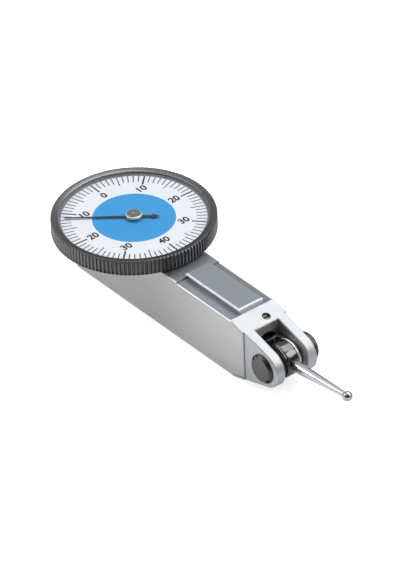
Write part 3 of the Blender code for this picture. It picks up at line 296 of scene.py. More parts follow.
def lathe_rings():
    """Rings round an axis: noise that changes only with the distance from it."""
    sockets = {"Centre": "NodeSocketVector", "Across": "NodeSocketVector", "Scale": "NodeSocketFloat"}
    group, given, out, place = effect_group("lathe_rings", sockets)
    offset = vector_calc(group, "SUBTRACT", {0: place, 1: given["Centre"]})
    flat = vector_calc(group, "MULTIPLY", {0: offset, 1: given["Across"]})
    radius = vector_calc(group, "LENGTH", {0: flat}, "Value")
    inputs = {"W": radius, "Scale": given["Scale"], "Detail": 2.0}
    return put_out(group, node(group, "ShaderNodeTexNoise", inputs, noise_dimensions="1D"), out)


LINES, GRAIN, RINGS = ground_lines(), fine_grain(), lathe_rings()
print("effects:", LINES.name, GRAIN.name, RINGS.name)

# %% [markdown]
# ## One way to make a finish
# Steel, paint and rubber differ in colour, roughness and metal, and little else. A separate node tree for each would
# be long and easy to get wrong. So one function makes them all: an effect's mask moves the colour between a light and a
# dark tone, moves the roughness between two values, and may raise a faint relief.

# %% Finish maker
RELIEF = 0.01 * MM


def finish(name, effect, settings, light, dark, smooth, rough, metallic, bump=0.0, alpha=1.0):
    """A material whose colour and roughness follow an effect's mask."""
    material = bpy.data.materials.new(name)
    material.use_nodes = True
    tree = material.node_tree
    shader = tree.nodes["Principled BSDF"]
    mask = node(tree, "ShaderNodeGroup", settings, node_tree=effect).outputs["Mask"]
    tree.links.new(blend(tree, mask, (*light, 1), (*dark, 1)), shader.inputs["Base Color"])
    tree.links.new(spread(tree, mask, 0.0, 1.0, smooth, rough), shader.inputs["Roughness"])
    shader.inputs["Metallic"].default_value = metallic
    shader.inputs["Alpha"].default_value = alpha
    if bump:
        relief = node(tree, "ShaderNodeBump", {"Height": mask, "Strength": bump, "Distance": RELIEF})
        tree.links.new(relief.outputs["Normal"], shader.inputs["Normal"])
    return material


PIVOT = Vector((44.3, 0, 6.3)) * MM
ROUND_Y, ROUND_Z = (1, 0, 1), (1, 1, 0)
pivot_rings = {"Centre": tuple(PIVOT), "Across": ROUND_Y, "Scale": 6000.0}
dial_rings = {"Centre": (0, 0, 0), "Across": ROUND_Z, "Scale": 4000.0}
grain = {"Scale": 3000.0}
along_slab = {"Stretch": (900, 9000, 9000)}

# %% [markdown]
# ## Metals
# The slab is ground steel, so its streaks run along it, and its top is a darker, bluer copy of the same steel: painted
# shade. The nose is satin chrome, paler and smoother. Caps, hub and lever are blackened steel, the stylus is mirror
# chrome, and the bezel is dark and satin. The inner pieces are hidden, but each still gets the brass, steel or ruby it
# is made of.

# %% Steel and chrome of the block
ground_steel = finish(
    "ground_steel", LINES, along_slab, (0.585, 0.58, 0.57), (0.535, 0.53, 0.52), 0.36, 0.46, 1.0, 0.08
)
# The slab's top: a darker, bluer copy of the ground steel, as painted shade.
top_shade_steel = finish("top_shade_steel", LINES, along_slab, (0.43, 0.45, 0.475), (0.40, 0.42, 0.445), 0.34, 0.42, 1.0, 0.06)
# The deck's far strip beside the dovetail: a still darker steel, as painted shade.
gutter_shade_steel = finish(
    "gutter_shade_steel", LINES, along_slab, (0.33, 0.345, 0.365), (0.30, 0.315, 0.335), 0.34, 0.42, 1.0, 0.06
)
# Satin chrome is the nose's own finish; on the dovetail's planed flats it is a painted highlight.
satin_chrome_and_highlight = finish("satin_chrome_and_highlight", GRAIN, grain, (0.555, 0.565, 0.575), (0.515, 0.525, 0.535), 0.48, 0.56, 1.0, 0.05)
# A darker copy of the satin chrome for the slot's walls: painted shade.
slot_shade_satin = finish("slot_shade_satin", GRAIN, grain, (0.50, 0.50, 0.51), (0.44, 0.44, 0.45), 0.48, 0.56, 1.0, 0.05)
# A darker copy of the steel for broken edges and planed flats, which tones down the light they catch: painted shade.
edge_shade_steel = finish("edge_shade_steel", GRAIN, grain, (0.42, 0.425, 0.435), (0.38, 0.385, 0.395), 0.34, 0.42, 1.0)
# A pale, half-metal steel that lifts shaded faces and makes bright rims: painted light.
painted_light_steel = finish("painted_light_steel", GRAIN, grain, (0.84, 0.855, 0.87), (0.79, 0.805, 0.82), 0.30, 0.40, 0.3)
# Dark steel for the knurl grooves and the step under the dial: painted shade.
shaded_steel = finish("shaded_steel", GRAIN, grain, (0.13, 0.13, 0.13), (0.105, 0.105, 0.105), 0.34, 0.42, 1.0)
print("block metals:", ground_steel.name, "to", shaded_steel.name)

# %% Metals of the turned and moving pieces
# Near black for the inside of the spanner notches: painted shade.
painted_shade_black = finish("painted_shade_black", GRAIN, grain, (0.012, 0.012, 0.012), (0.008, 0.008, 0.008), 0.35, 0.50, 0.0)
blackened_steel = finish(
    "blackened_steel", RINGS, pivot_rings, (0.155, 0.150, 0.142), (0.125, 0.120, 0.113), 0.34, 0.44, 1.0
)
# A darker copy of the cap steel for the caps' rims and sides: painted shade.
cap_side_shade = finish("cap_side_shade", GRAIN, grain, (0.085, 0.083, 0.08), (0.07, 0.068, 0.066), 0.34, 0.42, 1.0)
polished_dark = finish("polished_dark", RINGS, pivot_rings, (0.15, 0.147, 0.145), (0.11, 0.108, 0.106), 0.09, 0.16, 1.0)
warm_nickel = finish("warm_nickel", RINGS, dial_rings, (0.36, 0.33, 0.29), (0.30, 0.27, 0.235), 0.22, 0.30, 1.0)
# A pale, half-metal nickel for the boss's edge and the right washer: painted highlight.
painted_light_nickel = finish("painted_light_nickel", RINGS, dial_rings, (0.86, 0.83, 0.77), (0.80, 0.77, 0.71), 0.25, 0.35, 0.3)
smoked_steel = finish("smoked_steel", GRAIN, grain, (0.48, 0.455, 0.42), (0.42, 0.395, 0.365), 0.22, 0.30, 1.0)
dark_satin = finish("dark_satin", GRAIN, grain, (0.178, 0.178, 0.178), (0.15, 0.15, 0.15), 0.28, 0.36, 1.0)
rim_edge = finish("rim_edge", GRAIN, grain, (0.33, 0.335, 0.345), (0.28, 0.285, 0.295), 0.26, 0.34, 1.0)
mirror_chrome = finish("mirror_chrome", GRAIN, grain, (0.66, 0.66, 0.665), (0.62, 0.62, 0.625), 0.10, 0.14, 1.0)
polished_carbide = finish("polished_carbide", GRAIN, grain, (0.56, 0.54, 0.515), (0.52, 0.50, 0.475), 0.09, 0.13, 1.0)
bright_ground = finish("bright_ground", GRAIN, grain, (0.60, 0.60, 0.61), (0.54, 0.54, 0.55), 0.24, 0.32, 1.0)
plain_screw = finish("plain_screw", GRAIN, grain, (0.24, 0.23, 0.19), (0.19, 0.18, 0.15), 0.30, 0.40, 1.0)
# A darker screw steel for the screw sunk in the slope: painted shade.
sunk_screw_shade = finish("sunk_screw_shade", GRAIN, grain, (0.13, 0.13, 0.105), (0.10, 0.10, 0.08), 0.30, 0.40, 1.0)
blued_spring = finish("blued_spring", GRAIN, grain, (0.10, 0.14, 0.30), (0.08, 0.12, 0.25), 0.22, 0.30, 1.0)
bare_brass = finish("bare_brass", GRAIN, grain, (0.60, 0.44, 0.18), (0.52, 0.38, 0.15), 0.26, 0.36, 1.0)
print("other metals:", painted_shade_black.name, "to", bare_brass.name)

# %% [markdown]
# ## Paint, print, rubber and clear pieces
# The dial is painted and printed, so these finishes have no metal and a dull sheen. The crystal could be glass that
# bends light, but refraction brings noise, and so thin a sheet hardly shifts the view. A low Alpha lets light straight
# through, and what is left of its shine still shows.

# %% Paint, print, rubber and clear finishes
dial_white = finish("dial_white", GRAIN, grain, (0.855, 0.872, 0.897), (0.835, 0.852, 0.877), 0.46, 0.52, 0.0)
dial_blue = finish("dial_blue", GRAIN, grain, (0.022, 0.335, 0.725), (0.019, 0.315, 0.695), 0.46, 0.52, 0.0)
print_black = finish("print_black", GRAIN, grain, (0.015, 0.015, 0.02), (0.012, 0.012, 0.016), 0.46, 0.54, 0.0)
pointer_paint = finish("pointer_paint", GRAIN, grain, (0.022, 0.025, 0.034), (0.018, 0.021, 0.028), 0.40, 0.48, 0.0)
grey_rubber = finish("grey_rubber", GRAIN, grain, (0.19, 0.20, 0.215), (0.165, 0.175, 0.19), 0.60, 0.70, 0.0)
# A near-white for the bezel's inner wall, which lifts the shade under the lip: painted light.
painted_light_wall = finish("painted_light_wall", GRAIN, grain, (0.80, 0.81, 0.83), (0.76, 0.77, 0.79), 0.60, 0.70, 0.0)
clear_ruby = finish("clear_ruby", GRAIN, grain, (0.45, 0.02, 0.06), (0.40, 0.015, 0.05), 0.08, 0.12, 0.0)
clear_acrylic = finish(
    "clear_acrylic", GRAIN, grain, (0.60, 0.62, 0.63), (0.57, 0.59, 0.60), 0.02, 0.04, 0.0, alpha=0.015
)
print("paints and clear pieces:", dial_white.name, "to", clear_acrylic.name)

# %% [markdown]
# ## Finishes for the solids that stay
# Pieces inside the case, and small ones whose solid already has the right shape, keep their solid. The
# record names a material slot for each node, so one table from slot to finish colours them all.

# %% Colour the solids
slot_finish = {
    "case_steel": ground_steel,
    "nose_satin": satin_chrome_and_highlight,
    "dark_steel": blackened_steel,
    "hub_steel": polished_dark,
    "nickel": warm_nickel,
    "bezel_black": dark_satin,
    "crystal_clear": clear_acrylic,
    "gasket_rubber": grey_rubber,
    "dial_face": dial_white,
    "pointer_dark": pointer_paint,
    "stylus_chrome": mirror_chrome,
    "bright_steel": bright_ground,
    "screw_steel": plain_screw,
    "spring_steel": blued_spring,
    "movement_brass": bare_brass,
    "ruby": clear_ruby,
}
node_slot = {part["node"]: part["material_slot"] for part in frame["record"]["subparts"]}
for name, solid in frame["nodes"].items():
    solid.data.materials.clear()
    solid.data.materials.append(slot_finish[node_slot[name]])
print("solids coloured:", len(node_slot))

# %% [markdown]
# ## Putting a piece in place
# A finished piece sits at the origin with its place in its mesh. It rides on a body, takes the finish it is given,
# and hides the solids that it stands for. Round faces are shaded smooth and real edges stay crisp. On a block the
# shading is weighed by face size, or each narrow broken edge would bend the light on its wide flats.

# %% Piece maker
CRISP = math.radians(32)


def worked(mesh, set_up):
    """Puts modifiers on a mesh, runs them, and returns what they make as a plain mesh."""
    holder = bpy.data.objects.new("blank", mesh)
    bpy.context.scene.collection.objects.link(holder)
    set_up(holder)
    bpy.context.view_layer.update()
    graph = bpy.context.evaluated_depsgraph_get()
    made = bpy.data.meshes.new_from_object(holder.evaluated_get(graph))
    bpy.data.objects.remove(holder, do_unlink=True)
    return made


def mark_crisp(mesh):
    """Marks an edge sharp where its two faces meet at more than the crisp angle."""
    shape = bmesh.new()
    shape.from_mesh(mesh)
    for edge in shape.edges:
        edge.smooth = edge.calc_face_angle(0) < CRISP
    shape.to_mesh(mesh)
    shape.free()


def weigh_by_size(holder):
    holder.modifiers.new("weigh", "WEIGHTED_NORMAL").keep_sharp = True


def dress(name, mesh, material, body, nodes=(), block=False):
    """Makes a piece from a mesh, sets it on its body and hides the solids that it stands for."""
    mesh.materials.clear()
    mesh.materials.append(material)
    mesh.shade_smooth()
    mark_crisp(mesh)
    if block:
        mesh = worked(mesh, weigh_by_size)
    mesh.name = name
    piece = bpy.data.objects.new(name, mesh)
    bpy.context.scene.collection.objects.link(piece)
    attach(piece, body)
    if nodes:
        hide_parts(*nodes)
    print(f"{name}: {len(mesh.polygons)} faces on {body}")
    return piece


# %% [markdown]
# ## Cutting, and more than one finish on a piece
# Notches, slots and planed edges are cut out with a Boolean, which gives a clean closed mesh even where a cut runs
# out through a rounded rim. A piece may also show several finishes, such as painted shade in the notch of a grey cap.
# Painting faces by hand would be lost at the next change of size, so a rule picks them by where they are and how they
# face.

# %% Cuts and second finishes
LEVEL = 0.9
UPRIGHT = 0.2


def to_mesh(shape):
    mesh = bpy.data.meshes.new("shape")
    shape.to_mesh(mesh)
    shape.free()
    return mesh


def carved(shape, cutters):
    """The shape with each cutter taken out of it, as a plain mesh."""
    tools = [bpy.data.objects.new("cutter", to_mesh(cutter)) for cutter in cutters]

    def set_up(holder):
        for tool in tools:
            bpy.context.scene.collection.objects.link(tool)
            step = holder.modifiers.new("cut", "BOOLEAN")
            step.operation, step.solver, step.object = "DIFFERENCE", "EXACT", tool

    mesh = worked(to_mesh(shape), set_up)
    for tool in tools:
        bpy.data.objects.remove(tool, do_unlink=True)
    return mesh


def second_finish(piece, material, wanted):
    """Gives another finish to the faces that the rule picks."""
    piece.data.materials.append(material)
    for face in piece.data.polygons:
        if wanted(face):
            face.material_index = len(piece.data.materials) - 1


def facing_up(face):
    return face.normal.z > LEVEL


def facing_sideways(face):
    return abs(face.normal.z) < UPRIGHT


def from_dial_axis(face):
    """A face's distance from the dial's axis, in mm."""
    return face.center.xy.length / MM


# %% [markdown]
# ## Broken edges
# Ground steel never has knife edges: a thin break along each edge catches the light, and that bright line is
# what makes a block look machined. A Bevel modifier would break every edge, also those of tiny hidden holes.
# So the edges are picked by rule, long and on the outside, and only those are broken.

# %% Edge breaking
BROKEN = "broken_edge"
MERGE = 0.0005 * MM
SAME_PLANE = math.radians(1)


def merged_copy(name):
    """A solid as an editable shape, with its loose triangles joined into whole faces."""
    shape = bmesh.new()
    shape.from_mesh(frame["nodes"][name].data)
    bmesh.ops.remove_doubles(shape, verts=shape.verts, dist=MERGE)
    bmesh.ops.dissolve_limit(shape, angle_limit=SAME_PLANE, verts=shape.verts, edges=shape.edges)
    return shape


def break_edges(shape, width, wanted, steps=3):
    """Rounds the outward edges that the rule picks, or with one step cuts a flat. The rule gets both ends in mm."""
    mark = shape.faces.layers.int.get(BROKEN) or shape.faces.layers.int.new(BROKEN)
    chosen = []
    for edge in shape.edges:
        if edge.is_manifold and edge.calc_face_angle_signed(0) > CRISP:
            if wanted(*[vert.co / MM for vert in edge.verts]):
                chosen.append(edge)
    made = bmesh.ops.bevel(
        shape, geom=chosen, offset=width * MM, offset_type="OFFSET", segments=steps, profile=0.5, affect="EDGES",
        clamp_overlap=True,
    )
    for face in made["faces"]:
        face[mark] = 1
    print(f"edges broken: {len(chosen)}, by {width} mm")


def on_broken_edge(piece):
    """A rule that picks the faces which edge breaking made."""
    marks = piece.data.attributes[BROKEN].data
    return lambda face: marks[face.index].value == 1


# %% [markdown]
# ## The slab case
# The case is a long ground block with a low step behind the dovetail. Its longest top edges meet another very low
# step at the nose, which stops a bevel short, so they are planed flat by cutting with a bar on edge. The deck beside
# the dovetail is one face. The far strip of it lies in shade on the real tool, so the deck is split along the
# dovetail's foot and that strip gets a darker steel.

# %% Slab sizes and tools
SIDE = 5.25
SLAB_TOP, SLAB_REAR = 12.9, -12.0
DECK = 12.6
DOVETAIL_HALF, DOVETAIL_TOP = 3.15, 14.0
GUTTER = 3.0
NEAR, TOUCH, SAME = 0.05, 0.03, 0.02
# Each row has the edge's y and z, where it starts and ends along x, and the width of the flat, all in mm.
PLANED_EDGES = (
    (SIDE, DECK, 19.25, 36.0, 0.16),
    (SIDE, SLAB_TOP, -13.0, 25.0, 0.16),
    (DOVETAIL_HALF, DOVETAIL_TOP, 18.0, 36.0, 0.46),
)


def planing_bar(y, z, start, end, width):
    """A square bar on edge that takes a flat off a long top edge. All in mm."""
    shape = bmesh.new()
    out = Vector((0, math.copysign(1, y), 1)).normalized()
    centre = Vector(((start + end) / 2, y, z)) + out * (1 - width / math.sqrt(2))
    size = Matrix.Diagonal((end - start, 2, 2, 1))
    place = Matrix.Translation(centre) @ Matrix.Rotation(math.pi / 4, 4, "X") @ size
    bmesh.ops.create_cube(shape, size=1, matrix=Matrix.Scale(MM, 4) @ place)
    return shape


def on_deck(face):
    return facing_up(face) and abs(face.calc_center_median().z / MM - DECK) < NEAR


def split_deck(mesh):
    """Cuts the deck's one face beside the dovetail, so that the far strip can be painted darker as shade."""
    shape = bmesh.new()
    shape.from_mesh(mesh)
    deck = [face for face in shape.faces if on_deck(face)]
    edges = {edge for face in deck for edge in face.edges}
    corners = {vert for face in deck for vert in face.verts}
    bmesh.ops.bisect_plane(shape, geom=[*deck, *edges, *corners], plane_co=(0, GUTTER * MM, 0), plane_no=(0, 1, 0))
    return to_mesh(shape)


# %% [markdown]
# ## Which edges and faces of the slab
# Rules in plain numbers say which edges are broken and which faces get another steel. They leave out the mouth that
# takes the nose, the seat under the dial, the screw holes and the edges that are planed later. The step behind the
# dovetail is painted dark as shade, and the dovetail's end and undercut are painted pale as light where shade falls.

# %% Slab rules
MOUTH_START, MOUTH_HALF = 35.4, 4.0
SEAT_REACH, SEAT_DEPTH = 6.0, 2.0
SHORT_EDGE, HOLE_EDGE, TOP_STRIP = 0.6, 1.0, 0.7
STEP_FROM, STEP_TO, STEP_LEAN = 18.5, 20.0, 0.6
PLANED_LEAST, PLANED_MOST = 0.6, 0.8


def across_dovetail(a, b):
    return min(a.z, b.z) > DOVETAIL_TOP - SAME and abs(a.x - b.x) < SAME


def on_slab_outside(a, b):
    middle, length = (a + b) / 2, (a - b).length
    inside_mouth = middle.x > MOUTH_START and abs(middle.y) < MOUTH_HALF
    under_dial = math.hypot(middle.x, middle.y) < SEAT_REACH and middle.z > SLAB_TOP - SEAT_DEPTH
    side = abs(abs(middle.y) - SIDE) < TOUCH
    top = DECK - NEAR < middle.z < SLAB_TOP + NEAR
    outside = side or top or middle.z < TOUCH or middle.x < SLAB_REAR + NEAR
    screw_hole = side and length < HOLE_EDGE
    planed_later = side and middle.z > DECK - TOP_STRIP
    return outside and length > SHORT_EDGE and not (inside_mouth or under_dial or screw_hole or planed_later)


def in_far_gutter(face):
    return facing_up(face) and face.center.y > GUTTER * MM


def planed(face):
    return all(PLANED_LEAST < share < PLANED_MOST for share in (abs(face.normal.y), face.normal.z))


def planed_on_dovetail(face):
    return planed(face) and face.center.z > (SLAB_TOP + 0.1) * MM


def dovetail_end_or_undercut(face):
    return face.center.z > DECK * MM and (face.normal.x > LEVEL or face.normal.z < -0.1)


def on_step(face):
    return face.normal.x > STEP_LEAN and STEP_FROM < face.center.x / MM < STEP_TO


# %% Slab case
shape = merged_copy("case")
break_edges(shape, 0.26, across_dovetail, steps=1)
break_edges(shape, 0.13, on_slab_outside, steps=1)
bars = [planing_bar(sign * y, *rest) for y, *rest in PLANED_EDGES for sign in (-1, 1)]
slab = dress("slab_case", split_deck(carved(shape, bars)), ground_steel, "case", ["case"], block=True)
broken = on_broken_edge(slab)
# Every upward face of the slab, the dovetail's top too, takes the darker, bluer steel: painted shade.
second_finish(slab, top_shade_steel, facing_up)
# The far gutter takes the darkest deck steel: painted shade.
second_finish(slab, gutter_shade_steel, in_far_gutter)
# Broken edges and planed flats take the darker steel: painted shade over the light they catch.
second_finish(slab, edge_shade_steel, lambda face: broken(face) or planed(face))
# The dovetail's planed flats take the paler satin chrome: a painted highlight.
second_finish(slab, satin_chrome_and_highlight, planed_on_dovetail)
# The dovetail's end and undercut are lifted with pale steel: painted light where shade falls.
second_finish(slab, painted_light_steel, dovetail_end_or_undercut)
# The step under the dial takes the dark steel: painted shade.
second_finish(slab, shaded_steel, on_step)

# %% [markdown]
# ## The fork nose
# The nose is a separate block whose two round ears hold the pivot, with a slot between them and a bore at its rear
# that lets the lever through. Its edges are rounded rather than cut flat, because a satin casting is tumbled. The
# slot's walls get a darker satin as painted shade, and the bore gets a smaller rim, painted pale as a highlight.

# %% Fork nose
SEAM = 39.0
SLOT_HALF, SLOT_REAR = 2.8, 39.65
BORE_RADIUS, BORE_HEIGHT, BORE_RIM = 2.70, 7.1, 0.25
PIVOT_CLEAR = 2.3
EAR_EDGE = 0.3


def from_bore_axis(point):
    return math.hypot(point.y, point.z - BORE_HEIGHT)


def on_bore(a, b):
    return all(abs(from_bore_axis(p) - BORE_RADIUS) < NEAR and abs(p.x - SLOT_REAR) < NEAR for p in (a, b))


def by_the_bore(point):
    return from_bore_axis(point) < BORE_RADIUS + BORE_RIM and abs(point.x - SLOT_REAR) < BORE_RIM


def on_ears(a, b):
    near_pivot = max((point - PIVOT / MM).xz.length for point in (a, b)) < PIVOT_CLEAR
    ahead = min(a.x, b.x) > SEAM + EAR_EDGE or max(a.x, b.x) > SEAM + 1.0
    return ahead and (a - b).length > EAR_EDGE and not near_pivot and not on_bore(a, b)


def in_slot(face):
    centre = face.center / MM
    return centre.x > SLOT_REAR - NEAR and abs(centre.y) < SLOT_HALF + SAME and facing_sideways(face)


shape = merged_copy("nose_block")
break_edges(shape, 0.30, on_ears)
break_edges(shape, 0.15, on_bore)
nose = dress("fork_nose", to_mesh(shape), satin_chrome_and_highlight, "case", ["nose_block"], block=True)
broken = on_broken_edge(nose)
# The slot's walls between the ears take the darker satin: painted shade.
second_finish(nose, slot_shade_satin, in_slot)
# The bore's broken rim gets the pale steel: a painted highlight.
second_finish(nose, painted_light_steel, lambda face: broken(face) and by_the_bore(face.center / MM))

# %% [markdown]
# ## Turned pieces
# Caps, hub, washers, stylus, ball, boss, crystal and bezel are all turned on a lathe, so one function turns a
# profile of radius and height round an axis. Corners of the profile are rounded first: a row of small steps
# along each corner gives the soft highlight of a deburred edge.

# %% Lathe
FINE, MIDDLE, SMALL = 128, 72, 40
ON_AXIS = 1e-6


def section(inner, outer, top, low):
    """The profile of a plain ring, or of a rod if its inner radius is 0."""
    return [(inner, top), (outer, top), (outer, low), (inner, low)]


def rounded(profile, amount, steps=3):
    """Rounds each corner of an open profile, never by more than half of the shorter side."""
    points = [Vector(p) for p in profile]
    made = [points[0]]
    for before, corner, after in zip(points, points[1:], points[2:]):
        back, ahead = before - corner, after - corner
        reach = min(amount, back.length / 2, ahead.length / 2)
        start, end = corner + back.normalized() * reach, corner + ahead.normalized() * reach
        for i in range(steps + 1):
            t = i / steps
            made.append(start * (1 - t) ** 2 + corner * 2 * t * (1 - t) + end * t**2)
    return made + [points[-1]]


def lathe(profile, steps, place=Matrix.Identity(4), closed=False):
    """Turns (radius, height) points in mm about the Z axis of a place. A closed profile makes a ring."""
    shape = bmesh.new()
    angles = [2 * math.pi * i / steps for i in range(steps)]
    rows = []
    for radius, height in profile:
        reach, z = radius * MM, height * MM
        turns = angles if radius > ON_AXIS else [0.0]
        rows.append([shape.verts.new((reach * math.cos(a), reach * math.sin(a), z)) for a in turns])
    pairs = list(zip(rows, rows[1:]))
    if closed:
        pairs.append((rows[-1], rows[0]))
    for upper, lower in pairs:
        for i in range(steps):
            j = (i + 1) % steps
            corners = [upper[i % len(upper)], lower[i % len(lower)], lower[j % len(lower)], upper[j % len(upper)]]
            shape.faces.new(list(dict.fromkeys(corners)))
    bmesh.ops.recalc_face_normals(shape, faces=shape.faces)
    shape.transform(place)
    return shape


def frame_along(origin, direction):
    return Matrix.Translation(origin) @ Vector(direction).to_track_quat("Z", "Y").to_matrix().to_4x4()


# %% [markdown]
# ## Pivot caps
# Each ear carries a dark screw with a bevelled rim and two half-round notches for a pin spanner. The cap is
# turned, and the notches are cut with a Boolean, because they are holes through a slanted rim. The right cap
# stands prouder than the left one.

# %% Pivot caps
CAP_SEAT = 5.0
CAP_RADIUS, CAP_FLAT, CAP_BEVEL = 3.0, 2.55, 0.49
CAP_CORE, CORE_LENGTH = 1.65, 1.02
NOTCH_RADIUS, NOTCH_DEPTH, NOTCH_PLACE = 0.46, 0.43, 2.72
NOTCH_ANGLES = (math.radians(141), math.radians(141) + math.pi)
LEFT_PROUD, RIGHT_PROUD = 0.65, 1.6


def make_cap(side, sign, height):
    out = Vector((0, sign, 0))
    seat = PIVOT + out * CAP_SEAT * MM
    rim = [(0, height), (CAP_FLAT, height), (CAP_RADIUS, height - CAP_BEVEL), (CAP_RADIUS, 0)]
    core = [(CAP_CORE, 0), (CAP_CORE, -CORE_LENGTH), (0, -CORE_LENGTH)]
    cap = lathe(rounded(rim + core, 0.1), MIDDLE, frame_along(seat, out))
    cutter = section(0, NOTCH_RADIUS, height + 1, height - NOTCH_DEPTH)
    centres = [seat + Vector((math.cos(a), 0, math.sin(a))) * NOTCH_PLACE * MM for a in NOTCH_ANGLES]
    notches = [lathe(cutter, SMALL, frame_along(centre, out)) for centre in centres]
    reach = 1.02 * NOTCH_RADIUS * MM

    def in_notch(face):
        return min((face.center - centre).xz.length for centre in centres) < reach

    name = f"pivot_cap_{side}"
    piece = dress(name, carved(cap, notches), blackened_steel, "case", [f"pivot_screw_{side}"])
    # The rim and sides of the cap are darker than its face: painted shade.
    second_finish(piece, cap_side_shade, lambda face: abs(face.normal.y) < LEVEL)
    # The notch faces are near black: painted shade in the holes.
    second_finish(piece, painted_shade_black, in_notch)


make_cap("left", -1, LEFT_PROUD)
make_cap("right", 1, RIGHT_PROUD)

# %% [markdown]
# ## The screw in the slope
# A small slotted set screw sits a little below the slope of the nose, square to it. Its head is turned, and the slot
# is then cut with a bar, which is how the real slot is sawn.

# %% Screw in the slope
SLOPE = math.radians(-16.045)
SLOPE_SCREW = Vector((38.1, 1.2, 12.152)) * MM
SET_RADIUS, SET_LENGTH, SET_SINK = 0.85, 1.6, 0.35
SET_SLOT = 0.34
SAW_LENGTH, SAW_HEIGHT = 6, 4


def slot_cutter(width, depth, place):
    """A bar that cuts a screw's slot, from a depth below the place's origin upwards."""
    shape = bmesh.new()
    size = Matrix.Diagonal((SAW_LENGTH * MM, width * MM, SAW_HEIGHT * MM, 1))
    lift = Matrix.Translation((0, 0, (SAW_HEIGHT / 2 - depth) * MM))
    bmesh.ops.create_cube(shape, size=1, matrix=place @ lift @ size)
    return shape


square = frame_along(SLOPE_SCREW, (-math.sin(SLOPE), 0, math.cos(SLOPE)))
set_profile = section(0, SET_RADIUS, -SET_SINK, -SET_SINK - SET_LENGTH)
head = lathe(rounded(set_profile, 0.08), SMALL, square)
mesh = carved(head, [slot_cutter(SET_SLOT, SET_SINK + SET_SLOT, square)])
# The sunk screw takes the darker screw steel: painted shade in its hole.
dress("slope_screw", mesh, sunk_screw_shade, "case", ["nose_screw"])

# %% [markdown]
# ## Screws on the far side
# Two cheese-headed screws hold the movement from the far side. Two copies could be placed by hand, but they are one
# head that a Geometry Nodes tree repeats along a row, so both stay alike, and their number and spacing are inputs.
# A tree ends by making its copies real and giving them a material, or they would be lost when the part is exported.

# %% Row of screws


def made_real(group, geometry, given, out):
    """The end of every tree: copies become real faces, take their material and go out."""
    real = node(group, "GeometryNodeRealizeInstances", {"Geometry": geometry.outputs[0]})
    inked = node(group, "GeometryNodeSetMaterial", {"Geometry": real.outputs[0], "Material": given["Material"]})
    group.links.new(inked.outputs[0], out.inputs["Geometry"])
    return group


def shape_group(name, inputs):
    """A group for geometry, with a material among its inputs."""
    sockets = {"Geometry": "NodeSocketGeometry", **inputs, "Material": "NodeSocketMaterial"}
    return new_group(name, "GeometryNodeTree", sockets, {"Geometry": "NodeSocketGeometry"})


def row_tree():
    sockets = {"Count": "NodeSocketInt", "First": "NodeSocketVector", "Step": "NodeSocketVector"}
    group, given, out = shape_group("row_of_screws", sockets)
    index = node(group, "GeometryNodeInputIndex").outputs[0]
    along = vector_calc(group, "SCALE", {0: given["Step"], "Scale": index})
    place = vector_calc(group, "ADD", {0: given["First"], 1: along})
    points = node(group, "GeometryNodePoints", {"Count": given["Count"], "Position": place}).outputs[0]
    row = node(group, "GeometryNodeInstanceOnPoints", {"Points": points, "Instance": given["Geometry"]})
    return made_real(group, row, given, out)


def grown(mesh, tree, values):
    """Runs a Geometry Nodes tree on a mesh, with its inputs set by name, and returns a plain mesh."""

    def set_up(holder):
        modifier = holder.modifiers.new("grow", "NODES")
        modifier.node_group = tree
        for item in tree.interface.items_tree:
            if item.in_out == "INPUT" and item.name in values:
                modifier[item.identifier] = values[item.name]

    return worked(mesh, set_up)


# %% Screws on the far side
SCREW_FACE = 5.2
SCREW_PROFILE = [(0, 0), (1.2, 0), (1.2, -0.45), (0.55, -0.45), (0.55, -1.4), (0, -1.4)]
SCREW_SLOT, SCREW_SLOT_DEPTH = 0.32, 0.24
row_values = {"Count": 2, "First": (-6 * MM, 0, 0), "Step": (12 * MM, 0, 0), "Material": plain_screw}
facing = frame_along((0, SCREW_FACE * MM, PIVOT.z), (0, 1, 0))
slot = slot_cutter(SCREW_SLOT, SCREW_SLOT_DEPTH, facing)
head = carved(lathe(rounded(SCREW_PROFILE, 0.08), SMALL, facing), [slot])
pair = grown(head, row_tree(), row_values)
dress("side_screws", pair, plain_screw, "case", ["movement_screw_front", "movement_screw_rear"])

# %% [markdown]
# ## Hub and washers
# The contact hub is a polished disc between two spring washers, and a short socket for the stylus stands out of it.
# Disc and washers are turned about the pivot, and the socket about the stylus's own tilted axis. Disc and socket are
# one piece of metal, so they are joined in one mesh.

# %% Contact hub and washers
SHAFT_HOLE = 0.65
HUB_PROFILE = section(SHAFT_HOLE, 3.5, 1.25, -1.25)
WASHER_PROFILE = section(SHAFT_HOLE, 3.44, 1.60, 1.30)
SOCKET_PROFILE = section(0, 0.95, 3.9, 2.6)
STYLUS_TILT = math.radians(4.8)
STYLUS_AXIS = Vector((math.cos(STYLUS_TILT), 0, math.sin(STYLUS_TILT)))


def joined(first, second):
    """Two shapes as one mesh."""
    mesh = to_mesh(second)
    first.from_mesh(mesh)
    bpy.data.meshes.remove(mesh)
    return to_mesh(first)


across = frame_along(PIVOT, (0, 1, 0))
along = frame_along(PIVOT, STYLUS_AXIS)
disc = lathe(rounded(HUB_PROFILE, 0.2), MIDDLE, across, closed=True)
hub = joined(disc, lathe(rounded(SOCKET_PROFILE, 0.1), SMALL, along))
dress("contact_disc", hub, polished_dark, "stylus", ["contact_hub"])
# The right washer takes the pale nickel: a painted highlight.
for side, sign, material, slot in (("left", -1, polished_dark, "dark_steel"), ("right", 1, painted_light_nickel, "nickel")):
    ring = lathe(rounded(WASHER_PROFILE, 0.08), MIDDLE, frame_along(PIVOT, (0, sign, 0)), closed=True)
    dress(f"spring_washer_{side}", to_mesh(ring), material, "stylus", [f"friction_washer_{side}"])

